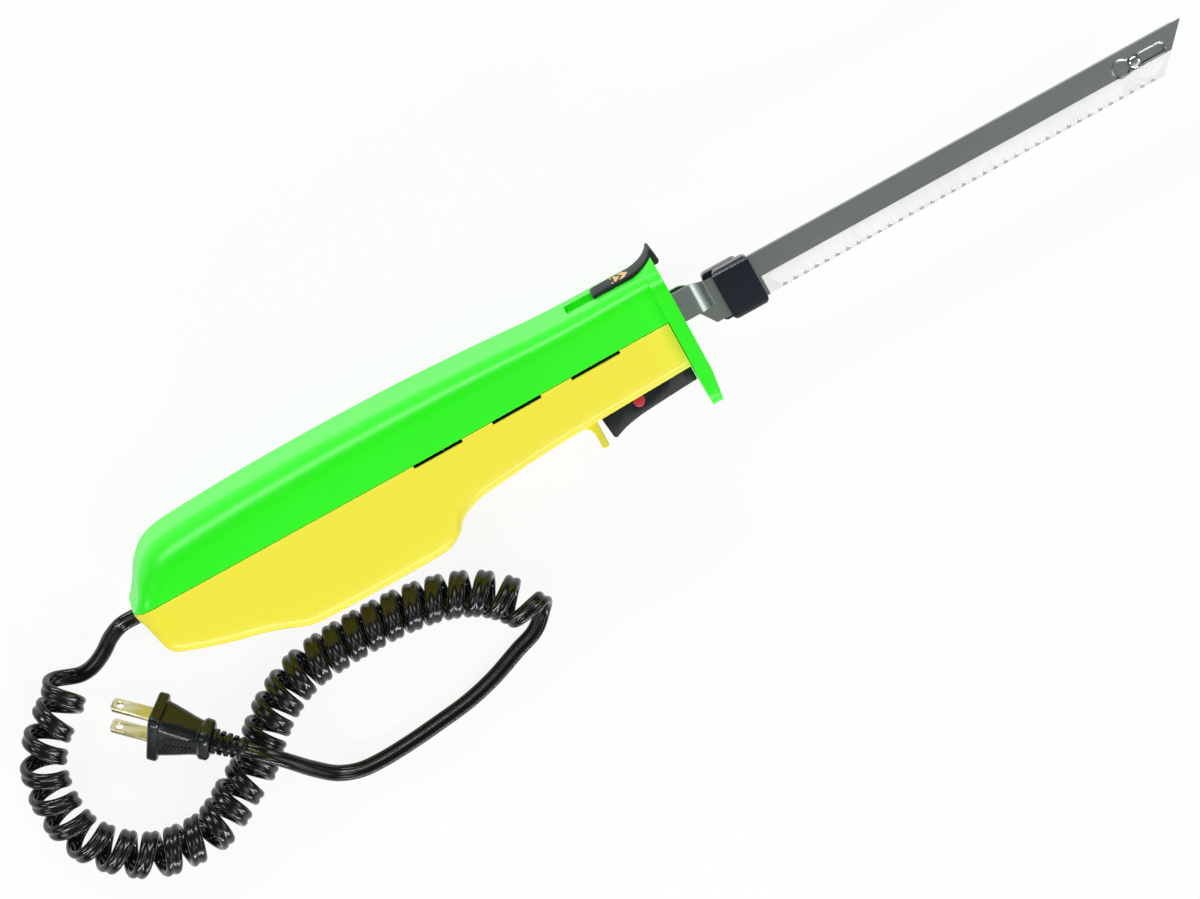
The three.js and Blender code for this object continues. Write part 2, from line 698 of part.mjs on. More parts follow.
function guard() {
  const width = GUARD_HALF_WIDTH;
  const outline = roundedRectangle(-width, width, -GUARD_DROP, FRONT_HEIGHT + 0.1, GUARD_ROUND);
  const past = width + 1;
  const wedge = [
    [GUARD_FRONT, -GUARD_RAKE_DROP],
    [GUARD_FRONT - GUARD_RAKE, -GUARD_DROP],
    [GUARD_FRONT - GUARD_RAKE, -GUARD_DROP - 1],
    [GUARD_FRONT + 1, -GUARD_DROP - 1],
    [GUARD_FRONT + 1, -GUARD_RAKE_DROP],
  ];
  const slots = [1, -1].map((side) => {
    const room = BLADE_THICK / 2 + RUN_GAP;
    const z = side * SHANK_Z;
    const top = SHANK_TOP + RUN_GAP;
    return box(GUARD_BACK - 1, GUARD_FRONT + 1, -SHANK_BOTTOM - RUN_GAP, top, z - room, z + room);
  });
  return cut(bar(outline, GUARD_BACK, GUARD_FRONT), plate(wedge, -past, past), ...slots);
}

// The back's sweep up to the guard's front edge: arches that rise from within the shell's wall.
function flare() {
  const base = FRONT_HEIGHT - WALL + SEAT_GAP;
  const beside = Math.sqrt(1 - (slotSide() / FLARE_HALF_WIDTH) ** 2); // the arch's height beside the slide
  const rings = [0, 0.25, 0.5, 0.75, 1].map((share) => {
    const x = THREE.MathUtils.lerp(GUARD_BACK - FLARE_LENGTH, GUARD_FRONT, share);
    const rise = (FRONT_HEIGHT + FLARE_RISE * share ** 2 - base) / beside;
    return Array.from({ length: 13 }, (_, k) => {
      const angle = (Math.PI * k) / 12;
      return new THREE.Vector3(x, base + rise * Math.sin(angle), FLARE_HALF_WIDTH * Math.cos(angle));
    });
  });
  return solid(loft(rings, inYZ));
}

// What stands inside the upper shell: ribs that hold the works down, bosses and the slide's pad.
function upperRibs() {
  const past = CROWN_HEIGHT + 1;
  const stackTop = MOTOR_Y + STACK_HALF + SEAT_GAP;
  const bracketTop = MOTOR_Y + BRACKET_HALF_HEIGHT + SEAT_GAP;
  const channelWall = slotSide() + WALL;
  const ribs = [
    box(BRACKET_REAR, BRACKET_FRONT, bracketTop, past, -8, 8),
    box(STACK_REAR + 4, STACK_REAR + 7, stackTop, past, -12, 12),
    box(STACK_FRONT - 7, STACK_FRONT - 4, stackTop, past, -12, 12),
    box(SOCKET_FRONT - 2.5, SOCKET_FRONT, SOCKET_TOP + RUN_GAP, past, -9, 9),
    box(springRibFront() - 2.5, springRibFront(), SOCKET_TOP + RUN_GAP, past, -4, 4),
    box(channelRear() - WALL, GUARD_BACK, CHANNEL_Y - CHANNEL_FLOOR, past, -channelWall, channelWall),
  ];
  for (const side of [1, -1]) {
    const inner = side * (FRAME_INNER - 1);
    const outer = side * (FRAME_OUTER + 1);
    for (const x of [FRAME_REAR + 4, FRAME_FRONT - 7]) {
      ribs.push(box(x, x + 3, FRAME_TOP + SEAT_GAP, past, Math.min(inner, outer), Math.max(inner, outer)));
    }
  }
  for (const [x, z] of SCREW_PLACES) {
    const wall = Math.sign(z) * (HALF_WIDTH + 1);
    ribs.push(rod("y", BOSS_R, SPLIT, SCREW_BITE + 3, [x, z]));
    ribs.push(box(x - 1.5, x + 1.5, SPLIT, SCREW_BITE + 3, Math.min(z, wall), Math.max(z, wall)));
  }
  return join(...ribs);
}

function slotSide() {
  return SLIDE_HALF_WIDTH + SEAT_GAP;
}

function channelRear() {
  return SLIDE_REAR - SLIDE_TRAVEL - CHANNEL_TAIL;
}

function springRibFront() {
  return LATCH_REAR - RELEASE_SPRING_LENGTH - SEAT_GAP;
}

// Room for the cord's grommet, which drops in from the lower shell's rim.
function grommetSeat() {
  const width = GROMMET_HALF_WIDTH + SEAT_GAP;
  return box(-5, GROMMET_FRONT + 1, -CORD_EXIT_DROP - GROMMET_HALF_HEIGHT - SEAT_GAP, 1, -width, width);
}

function upperCasing() {
  const outside = shellOutside(CROWN_OUTLINE, shoulder, GUARD_BACK + 1, 1);
  const inside = shellInside(CROWN_OUTLINE, shoulder, GUARD_BACK, 1);
  const shell = join(cut(outside, inside), upperRibs().intersect(outside), guard(), flare());
  const leg = LEG_HALF_WIDTH + RUN_GAP;
  const side = slotSide();
  const tools = [
    box(channelRear(), GUARD_BACK + 1, CHANNEL_Y, FRONT_HEIGHT + 20, -side, side),
    box(GUARD_BACK - 1, GUARD_FRONT + 1, FRONT_HEIGHT, FRONT_HEIGHT + 20, -side, side),
    box(LEG_REAR - SLIDE_TRAVEL - RUN_GAP, LEG_REAR + LEG_LENGTH + RUN_GAP, 0, FRONT_HEIGHT, -leg, leg),
    ...SCREW_PLACES.map(([x, z]) => rod("y", SCREW_R + SEAT_GAP, -1, SCREW_BITE + 1.5, [x, z], 10)),
  ];
  return cut(shell, ...tools);
}

// Lower shell

// What stands inside the lower shell: cradles, posts, screw towers and the trigger's ears.
function lowerRibs() {
  const past = -HEEL_DEPTH - 1;
  const stackBottom = MOTOR_Y - STACK_HALF - SEAT_GAP;
  const bracketFoot = MOTOR_Y - BRACKET_HALF_HEIGHT + 6;
  const ribs = [
    box(BRACKET_REAR - SEAT_GAP - 2.5, BRACKET_REAR - SEAT_GAP, past, bracketFoot, -8, 8),
    box(BRACKET_FRONT + SEAT_GAP, BRACKET_FRONT + SEAT_GAP + 2.5, past, bracketFoot, -8, 8),
    box(STACK_REAR + 4, STACK_REAR + 7, past, stackBottom, -15, 15),
    box(STACK_FRONT - 7, STACK_FRONT - 4, past, stackBottom, -15, 15),
    box(PRONG_REAR - 1, PRONG_REAR + 1.5, past, -NECK_BOTTOM - RUN_GAP, -9, 9),
  ];
  for (const side of [1, -1]) {
    const low = (a, b) => [Math.min(side * a, side * b), Math.max(side * a, side * b)];
    for (const x of [FRAME_REAR + 4, FRAME_FRONT - 7]) {
      ribs.push(box(x, x + 3, past, -FRAME_BOTTOM - SEAT_GAP, ...low(FRAME_INNER - 1, FRAME_OUTER + 1)));
    }
    const post = low(SWITCH_HALF_WIDTH + SEAT_GAP, SWITCH_HALF_WIDTH + SEAT_GAP + 3);
    for (const x of [SWITCH_REAR + 3, SWITCH_FRONT - 7]) {
      ribs.push(box(x, x + 4, past, -SWITCH_TOP, ...post));
    }
    const ear = low(SLOT_HALF + SEAT_GAP, PIN_END);
    ribs.push(box(PIVOT_X - 3, PIVOT_X + 3, past, PIVOT_Y + 3, ...ear));
  }
  for (const [x, z] of SCREW_PLACES) ribs.push(rod("y", BOSS_R, past, -SPLIT, [x, z]));
  return join(...ribs);
}

// The prong seen from the side, with the curve that runs into it from the belly.
function prongOutline() {
  const front = PRONG_REAR + PRONG_THICK;
  const start = PRONG_REAR - PRONG_FILLET;
  const belly = -along(KEEL_OUTLINE, start);
  const tip = PRONG_THICK / 3;
  const low = -PRONG_DROP + tip;
  const shape = new THREE.Shape();
  shape.moveTo(front, -FRONT_DEPTH + 1);
  shape.lineTo(start, -FRONT_DEPTH + 1);
  shape.lineTo(start, belly).absarc(start, belly - PRONG_FILLET, PRONG_FILLET, Math.PI / 2, 0, true);
  shape.lineTo(PRONG_REAR, low).absarc(PRONG_REAR + tip, low, tip, Math.PI, 1.5 * Math.PI);
  shape.lineTo(front - tip, -PRONG_DROP).absarc(front - tip, low, tip, 1.5 * Math.PI, 2 * Math.PI);
  return shape;
}

function lowerCasing() {
  const round = () => KEEL_ROUND;
  const outside = shellOutside(KEEL_OUTLINE, round, SHELL_FRONT, -1);
  const inside = shellInside(KEEL_OUTLINE, round, GUARD_BACK + 1, -1);
  const shell = join(
    cut(outside, inside),
    lowerRibs().intersect(outside),
    plate(prongOutline(), -PRONG_HALF_WIDTH, PRONG_HALF_WIDTH, 4),
  );
  const lockX = GUARD_BACK - LOCK_SETBACK;
  const lockRoom = LOCK_R + 2 * RUN_GAP;
  const lockSwing = triggerLift(LOCK_DROP + PIVOT_RISE); // the pulled trigger carries the button back
  const lockSide = TRIGGER_HALF_WIDTH + LOCK_STAND + LOCK_TRAVEL + RUN_GAP;
  const lockTop = -FRONT_DEPTH + LOCK_R + 2.5;
  const slotRear = TRIGGER_REAR - 2 * RUN_GAP;
  const floor = -FRONT_DEPTH - 5;
  const tools = [
    box(slotRear, GUARD_BACK + 1, floor, -FRONT_DEPTH + WALL + 1, -SLOT_HALF, SLOT_HALF),
    box(lockX - lockRoom - lockSwing, lockX + lockRoom, floor, lockTop, -lockSide, lockSide),
    rod("z", PIVOT_R + SEAT_GAP, -PIN_END - PIN_HOLE_SPARE, PIN_END + PIN_HOLE_SPARE, [PIVOT_X, PIVOT_Y], 12),
    grommetSeat(),
  ];
  for (const start of VENT_STARTS) {
    tools.push(box(start, start + VENT_LENGTH, -SPLIT - VENT_HEIGHT, 1, HALF_WIDTH / 2, HALF_WIDTH + 1));
    tools.push(box(start, start + VENT_LENGTH, -SPLIT - VENT_HEIGHT, 1, -HALF_WIDTH - 1, -HALF_WIDTH / 2));
  }
  for (const [x, z] of SCREW_PLACES) {
    tools.push(rod("y", SCREW_R + SEAT_GAP, screwSeat(x) - 1, 1, [x, z], 10));
    tools.push(rod("y", SCREW_HEAD_R + SEAT_GAP, -HEEL_DEPTH - 1, screwSeat(x) + SEAT_GAP, [x, z], 12));
  }
  return cut(shell, ...tools);
}

// Where the inner face of a screw's head bears.
function screwSeat(x) {
  return -along(KEEL_OUTLINE, x) + SCREW_SINK + SCREW_HEAD_HEIGHT;
}

function casingScrew([x, z]) {
  const seat = screwSeat(x);
  const head = rod("y", SCREW_HEAD_R, seat - SCREW_HEAD_HEIGHT, seat, [x, z], 12);
  const cross = [
    box(x - 1.6, x + 1.6, seat - SCREW_HEAD_HEIGHT - 1, seat - SCREW_HEAD_HEIGHT + 0.9, z - 0.4, z + 0.4),
    box(x - 0.4, x + 0.4, seat - SCREW_HEAD_HEIGHT - 1, seat - SCREW_HEAD_HEIGHT + 0.9, z - 1.6, z + 1.6),
  ];
  return cut(join(head, rod("y", SCREW_R, seat - 0.5, SCREW_BITE, [x, z], 10)), ...cross);
}

piece("upper_casing", upperCasing(), GREEN, 0.3);
piece("lower_casing", lowerCasing(), YELLOW, 0.3);
const screwNames = ["screw_rear_near", "screw_front_near", "screw_rear_far", "screw_front_far"];
screwNames.forEach((name, i) => piece(name, casingScrew(SCREW_PLACES[i]), BRIGHT, 0.35, 1));

// Motor: stator

// Two poles on a square yoke, round a bore for the armature.
function fieldStack() {
  const axis = [MOTOR_Y, 0];
  const square = roundedRectangle(-STACK_HALF, STACK_HALF, MOTOR_Y - STACK_HALF, MOTOR_Y + STACK_HALF, 4);
  const window = [
    [-WINDOW_HALF, MOTOR_Y - COIL_CEILING],
    [WINDOW_HALF, MOTOR_Y - COIL_CEILING],
    [WINDOW_HALF, MOTOR_Y + COIL_CEILING],
    [-WINDOW_HALF, MOTOR_Y + COIL_CEILING],
  ];
  const poles = [1, -1].map((side) => {
    const near = MOTOR_Y + side * (BORE_R / 2);
    const shoe = MOTOR_Y + side * COIL_FLOOR;
    const yoke = MOTOR_Y + side * (COIL_CEILING + 1);
    return join(
      box(STACK_REAR, STACK_FRONT, Math.min(near, shoe), Math.max(near, shoe), -SHOE_HALF, SHOE_HALF),
      box(STACK_REAR, STACK_FRONT, Math.min(near, yoke), Math.max(near, yoke), -NECK_HALF, NECK_HALF),
    );
  });
  const bore = rod("x", BORE_R, STACK_REAR - 1, STACK_FRONT + 1, axis, 32);
  const hollow = bar(window, STACK_REAR - 1, STACK_FRONT + 1);
  return cut(join(cut(bar(square, STACK_REAR, STACK_FRONT, 2), hollow), ...poles), bore);
}

// A coil wound round the neck of one pole.
function fieldCoil(side) {
  const inner = NECK_HALF + SEAT_GAP;
  const outer = WINDOW_HALF - COIL_ROOM;
  const low = Math.min(side * (COIL_FLOOR + SEAT_GAP), side * (COIL_CEILING - SEAT_GAP));
  const high = Math.max(side * (COIL_FLOOR + SEAT_GAP), side * (COIL_CEILING - SEAT_GAP));
  const rear = STACK_REAR - SEAT_GAP;
  const front = STACK_FRONT + SEAT_GAP;
  const around = roundedRectangle(rear - COIL_WIDTH, front + COIL_WIDTH, -outer, outer, COIL_WIDTH);
  const depth = high - low;
  const ring = new THREE.ExtrudeGeometry(around, { depth, bevelEnabled: false, curveSegments: 4 });
  ring.rotateX(Math.PI / 2).translate(0, MOTOR_Y + high, 0);
  return cut(solid(ring), box(rear, front, MOTOR_Y + low - 1, MOTOR_Y + high + 1, -inner, inner));
}

piece("field_stack", fieldStack(), IRON, 0.6, 0.8);
piece("field_coil_top", fieldCoil(1), COPPER, 0.45, 0.6);
piece("field_coil_bottom", fieldCoil(-1), COPPER, 0.45, 0.6);

// Motor: armature

// The outline of a round piece about the motor's axis with even slots cut into its rim.
function slottedRound(radius, depth, width, count) {
  const points = [];
  for (let k = 0; k < count; k++) {
    const middle = (2 * Math.PI * k) / count;
    const edge = Math.asin(width / 2 / radius);
    const root = Math.asin(width / 2 / (radius - depth));
    const step = Math.PI / count;
    points.push([radius, middle + edge], [radius, middle + step], [radius, middle + 2 * step - edge]);
    points.push([radius - depth, middle + 2 * step - root], [radius - depth, middle + 2 * step + root]);
  }
  return points.map(([r, angle]) => [r * Math.sin(angle), MOTOR_Y + r * Math.cos(angle)]);
}

function armatureCore() {
  const core = bar(slottedRound(CORE_R, SLOT_DEPTH, SLOT_WIDTH, CORE_SLOTS), STACK_REAR, STACK_FRONT);
  return cut(core, rod("x", SHAFT_R + SEAT_GAP, STACK_REAR - 1, STACK_FRONT + 1, [MOTOR_Y, 0]));
}

// End turns behind and before the core, joined by the wire in its slots.
function armatureWinding() {
  const rear = STACK_REAR - SEAT_GAP - WINDING_OVERHANG;
  const front = STACK_FRONT + SEAT_GAP + WINDING_OVERHANG;
  const rings = [
    [rear, STACK_REAR - SEAT_GAP],
    [STACK_FRONT + SEAT_GAP, front],
  ].map(([from, to]) => {
    const outer = rod("x", CORE_R - 1, from, to, [MOTOR_Y, 0], 24);
    return cut(outer, rod("x", CORE_R - SLOT_DEPTH - 1, from - 1, to + 1, [MOTOR_Y, 0], 24));
  });
  const half = SLOT_WIDTH / 2 - SEAT_GAP;
  const bars = Array.from({ length: CORE_SLOTS }, (_, k) => {
    const strip = new THREE.BoxGeometry(front - rear - 2, SLOT_DEPTH - 1 - SEAT_GAP, 2 * half);
    strip.translate((front + rear) / 2, CORE_R - 1 - (SLOT_DEPTH - 1 - SEAT_GAP) / 2, 0);
    return solid(strip.rotateX((2 * Math.PI * k) / CORE_SLOTS).translate(0, MOTOR_Y, 0));
  });
  return join(...rings, ...bars);
}

function commutator() {
  const outline = slottedRound(COMMUTATOR_R, BAR_GROOVE, BAR_GROOVE, COMMUTATOR_BARS);
  const bore = rod("x", SHAFT_R + SEAT_GAP, COMMUTATOR_REAR - 1, COMMUTATOR_FRONT + 1, [MOTOR_Y, 0]);
  return cut(bar(outline, COMMUTATOR_REAR, COMMUTATOR_FRONT), bore);
}

function coolingFan() {
  const axis = [MOTOR_Y, 0];
  const front = FAN_REAR + FAN_LENGTH;
  const blades = Array.from({ length: FAN_BLADES }, (_, k) => {
    const blade = new THREE.BoxGeometry(FAN_LENGTH - 0.5, FAN_R - FAN_HUB_R + 1, FAN_BLADE_THICK);
    blade.translate(FAN_REAR + FAN_LENGTH / 2 + 0.25, (FAN_R + FAN_HUB_R) / 2 - 0.8, 0);
    return solid(blade.rotateX((2 * Math.PI * k) / FAN_BLADES).translate(0, MOTOR_Y, 0));
  });
  const disc = rod("x", FAN_R, FAN_REAR, FAN_REAR + FAN_DISC, axis, 32);
  const hub = rod("x", FAN_HUB_R, FAN_REAR, front, axis);
  return cut(join(disc, hub, ...blades), rod("x", SHAFT_R + SEAT_GAP, FAN_REAR - 1, front + 1, axis));
}

// The worm's thread, right-handed, with one flank crossing the top of the worm at the gear's middle.
function wormThread() {
  const stepsPerTurn = 10;
  const turns = WORM_LENGTH / WORM_LEAD;
  const steps = Math.round(turns * stepsPerTurn);
  const crest = WORM_PITCH_R + TOOTH_ADDENDUM;
  const rings = Array.from({ length: steps + 1 }, (_, i) => {
    const angle = 2 * Math.PI * turns * (i / steps - 0.5);
    const x = GEAR_X + (WORM_LEAD * angle) / (2 * Math.PI);
    const flank = 0.7 * THREAD_THICK;
    const land = 0.3 * THREAD_THICK;
    const profile = [
      [x - flank, SHAFT_R - 0.2],
      [x - land, crest],
      [x + land, crest],
      [x + flank, SHAFT_R - 0.2],
    ];
    const c = Math.cos(angle);
    const s = Math.sin(angle);
    return profile.map(([at, r]) => new THREE.Vector3(at, MOTOR_Y + r * c, r * s));
  });
  const flat = (point) => [point.x, Math.hypot(point.y - MOTOR_Y, point.z)];
  return solid(loft(rings, flat));
}

function armatureShaft() {
  const axis = [MOTOR_Y, 0];
  const step = FRAME_FRONT - FRAME_WALL - 1;
  return join(
    rod("x", SHAFT_R, SHAFT_REAR, step, axis),
    rod("x", SHAFT_END_R, step - 1, FRAME_FRONT + 1, axis),
    wormThread(),
  );
}

piece("armature_shaft", armatureShaft(), BRIGHT, 0.3, 1);
piece("armature_core", armatureCore(), IRON, 0.6, 0.8);
piece("armature_winding", armatureWinding(), COPPER, 0.4, 0.6);
piece("commutator", commutator(), COPPER, 0.35, 0.9);
piece("cooling_fan", coolingFan(), BLACK, 0.6);

// Motor: bearings and brushes

function ring(outer, inner, from, to) {
  const axis = [MOTOR_Y, 0];
  return cut(rod("x", outer, from, to, axis, 20), rod("x", inner, from - 1, to + 1, axis, 20));
}

// The plate that carries the rear bearing, with a shelf under each brush holder.
function rearBracket() {
  const half = BRACKET_HALF_WIDTH;
  const bottom = MOTOR_Y - BRACKET_HALF_HEIGHT;
  const outline = roundedRectangle(-half, half, bottom, MOTOR_Y + BRACKET_HALF_HEIGHT, 5);
  const shelfTop = MOTOR_Y - HOLDER_HALF - SEAT_GAP;
  const shelves = [1, -1].map((side) => {
    const inner = side * HOLDER_INNER;
    const outer = side * Math.min(half, HOLDER_INNER + HOLDER_LENGTH);
    const from = Math.min(inner, outer);
    const to = Math.max(inner, outer);
    return box(BRACKET_FRONT - 1, BRUSH_X + HOLDER_HALF, shelfTop - 2, shelfTop, from, to);
  });
  const hole = rod("x", BEARING_R + SEAT_GAP, BRACKET_REAR - 1, BRACKET_FRONT + 1, [MOTOR_Y, 0], 20);
  return cut(join(bar(outline, BRACKET_REAR, BRACKET_FRONT, 3), ...shelves), hole);
}

function brushHolder(side) {
  const inner = side * HOLDER_INNER;
  const outer = side * (HOLDER_INNER + HOLDER_LENGTH);
  const stop = side * (HOLDER_INNER + HOLDER_LENGTH - HOLDER_WALL);
  const hole = BRUSH_SIZE / 2 + SEAT_GAP;
  const mouth = side * (HOLDER_INNER - 1);
  const low = MOTOR_Y - HOLDER_HALF;
  const high = MOTOR_Y + HOLDER_HALF;
  const from = BRUSH_X - HOLDER_HALF;
  return cut(
    box(from, BRUSH_X + HOLDER_HALF, low, high, Math.min(inner, outer), Math.max(inner, outer)),
    box(
      BRUSH_X - hole, BRUSH_X + hole, MOTOR_Y - hole, MOTOR_Y + hole,
      Math.min(mouth, stop), Math.max(mouth, stop),
    ),
  );
}

function brush(side) {
  const half = BRUSH_SIZE / 2;
  const inner = side * (COMMUTATOR_R + SEAT_GAP);
  const outer = side * (COMMUTATOR_R + SEAT_GAP + BRUSH_LENGTH);
  const from = Math.min(inner, outer);
  return box(BRUSH_X - half, BRUSH_X + half, MOTOR_Y - half, MOTOR_Y + half, from, Math.max(inner, outer));
}

// The spring behind a brush, made along x and turned to lie across the handle.
function brushSpring(side) {
  const from = COMMUTATOR_R + SEAT_GAP + BRUSH_LENGTH + SEAT_GAP;
  const to = HOLDER_INNER + HOLDER_LENGTH - HOLDER_WALL - SEAT_GAP;
  const turned = spring("x", BRUSH_SIZE / 3, from, to, [0, 0], 3, 0.3);
  return turned.rotateY(-side * (Math.PI / 2)).translate(BRUSH_X, MOTOR_Y, 0);
}

piece("rear_bracket", rearBracket(), STEEL, 0.4, 0.9);
const rearBearingStart = BEARING_X - BEARING_LENGTH / 2;
const rearBearing = ring(BEARING_R, SHAFT_R + RUN_GAP, rearBearingStart, rearBearingStart + BEARING_LENGTH);
const middleBearing = ring(BEARING_R, SHAFT_R + RUN_GAP, FRAME_REAR, FRAME_REAR + FRAME_WALL);
const endBush = ring(BUSH_R, SHAFT_END_R + RUN_GAP, FRAME_FRONT - FRAME_WALL, FRAME_FRONT);
piece("rear_bearing", rearBearing, BRASS, 0.4, 0.9);
piece("middle_bearing", middleBearing, BRASS, 0.4, 0.9);
piece("end_bush", endBush, BRASS, 0.4, 0.9);
for (const [name, side] of [["near", 1], ["far", -1]]) {
  piece(`${name}_brush_holder`, brushHolder(side), BRASS, 0.4, 0.9);
  piece(`${name}_brush`, brush(side), CARBON, 0.8);
  piece(`${name}_brush_spring`, brushSpring(side), BRIGHT, 0.35, 1);
}

// Worm drive

// The gear's rim at one height: teeth that lean with the worm's thread, a gap facing the worm at mid height.
function gearRing(z) {
  const lean = (z * WORM_LEAD) / (2 * Math.PI * WORM_PITCH_R) / GEAR_PITCH_R;
  const tip = GEAR_PITCH_R + TOOTH_ADDENDUM;
  const root = GEAR_PITCH_R - TOOTH_DEDENDUM;
  const pitch = (2 * Math.PI) / GEAR_TEETH;
  const points = [];
  for (let k = 0; k < GEAR_TEETH; k++) {
    const middle = -Math.PI / 2 + lean + (k + 0.5) * pitch;
    const foot = (0.8 * TOOTH_THICK) / root;
    const land = (0.28 * TOOTH_THICK) / tip;
    points.push([root, middle - foot], [tip, middle - land], [tip, middle + land], [root, middle + foot]);
  }
  return points.map(([r, a]) => new THREE.Vector3(GEAR_X + r * Math.cos(a), GEAR_Y + r * Math.sin(a), z));
}

// The worm wheel with a crank pin on each face, half a turn apart.
function driveGear() {
  const wheel = solid(loft([-GEAR_HALF_THICK, 0, GEAR_HALF_THICK].map(gearRing), inXY));
  const angle = Math.acos(BLADE_SHIFT / CRANK);
  const x = CRANK * Math.cos(angle);
  const y = CRANK * Math.sin(angle);
  const end = ARM_OUTER + 0.7;
  return cut(
    join(
      wheel,
      rod("z", CRANK_PIN_R, 0, end, [GEAR_X + x, GEAR_Y + y], 14),
      rod("z", CRANK_PIN_R, -end, 0, [GEAR_X - x, GEAR_Y - y], 14),
    ),
    rod("z", AXLE_R + RUN_GAP / 2, -end - 1, end + 1, [GEAR_X, GEAR_Y], 20),
  );
}

// Two plates beside the gear, joined by the walls that carry the shaft.
function driveFrame() {
  const half = FRAME_INNER + 1;
  const rearTop = MOTOR_Y + BEARING_R + 2;
  const frontTop = -NECK_BOTTOM - RUN_GAP;
  const rearFace = FRAME_REAR + FRAME_WALL;
  const frontFace = FRAME_FRONT - FRAME_WALL;
  const rearWall = box(FRAME_REAR, rearFace, -FRAME_BOTTOM, rearTop, -half, half);
  const frontWall = box(frontFace, FRAME_FRONT, -FRAME_BOTTOM, frontTop, -half, half);
  const plates = [1, -1].map((side) => {
    const low = Math.min(side * FRAME_INNER, side * FRAME_OUTER);
    const high = Math.max(side * FRAME_INNER, side * FRAME_OUTER);
    return box(FRAME_REAR, FRAME_FRONT, -FRAME_BOTTOM, FRAME_TOP, low, high);
  });
  const axle = rod("z", AXLE_R + SEAT_GAP, -FRAME_OUTER - 1, FRAME_OUTER + 1, [GEAR_X, GEAR_Y]);
  const rearHole = rod("x", BEARING_R + SEAT_GAP, FRAME_REAR - 1, rearFace + 1, [MOTOR_Y, 0], 20);
  const frontHole = rod("x", BUSH_R + SEAT_GAP, frontFace - 1, FRAME_FRONT + 1, [MOTOR_Y, 0], 20);
  return cut(join(rearWall, frontWall, ...plates), axle, rearHole, frontHole);
}

// A slide with a yoke round the crank pin and a socket for the blade's shank, at mid stroke.
function driveArm(side) {
  const across = (a, b) => [Math.min(side * a, side * b), Math.max(side * a, side * b)];
  const yokeFront = GEAR_X + YOKE_HALF_LENGTH + YOKE_WALL;
  const halfHeight = YOKE_HALF_HEIGHT + YOKE_WALL;
  const yoke = box(
    GEAR_X - YOKE_HALF_LENGTH - YOKE_WALL, yokeFront, GEAR_Y - halfHeight, GEAR_Y + halfHeight,
    ...across(ARM_INNER, ARM_OUTER),
  );
  const window = roundedRectangle(
    GEAR_X - YOKE_HALF_LENGTH, GEAR_X + YOKE_HALF_LENGTH,
    GEAR_Y - YOKE_HALF_HEIGHT, GEAR_Y + YOKE_HALF_HEIGHT, 0.8,
  );
  const neck = box(yokeFront - 1, SOCKET_REAR + 1, -NECK_BOTTOM, NECK_TOP, ...across(ARM_INNER, ARM_OUTER));
  const block = box(
    SOCKET_REAR, SOCKET_FRONT, -SOCKET_BOTTOM, SOCKET_TOP, ...across(SOCKET_INNER, ARM_OUTER),
  );
  const room = BLADE_THICK / 2 + SEAT_GAP;
  const pocket = box(
    SOCKET_REAR + SOCKET_FLOOR, SOCKET_FRONT + 1, -SHANK_BOTTOM - SEAT_GAP, SHANK_TOP + SEAT_GAP,
    ...across(SHANK_Z - room, SHANK_Z + room),
  );
  return cut(join(yoke, neck, block), plate(window, ...across(ARM_INNER - 1, ARM_OUTER + 1), 2), pocket);
}

piece("drive_gear", driveGear(), NYLON, 0.5);
piece("gear_axle", rod("z", AXLE_R, -FRAME_OUTER, FRAME_OUTER, [GEAR_X, GEAR_Y], 20), BRIGHT, 0.3, 1);
piece("drive_frame", driveFrame(), STEEL, 0.45, 0.9);

// Blades

// The serrated edge from the bevel's start to the tip, as points of the blade's outline.
function serratedEdge(from, to) {
  const points = [];
  for (let x = to - TOOTH_PITCH; x > from; x -= TOOTH_PITCH) {
    points.push([x + 0.3 * TOOTH_PITCH, -BLADE_BOTTOM], [x, -BLADE_BOTTOM + TOOTH_NOTCH]);
    points.push([x - 0.3 * TOOTH_PITCH, -BLADE_BOTTOM]);
  }
  return points;
}

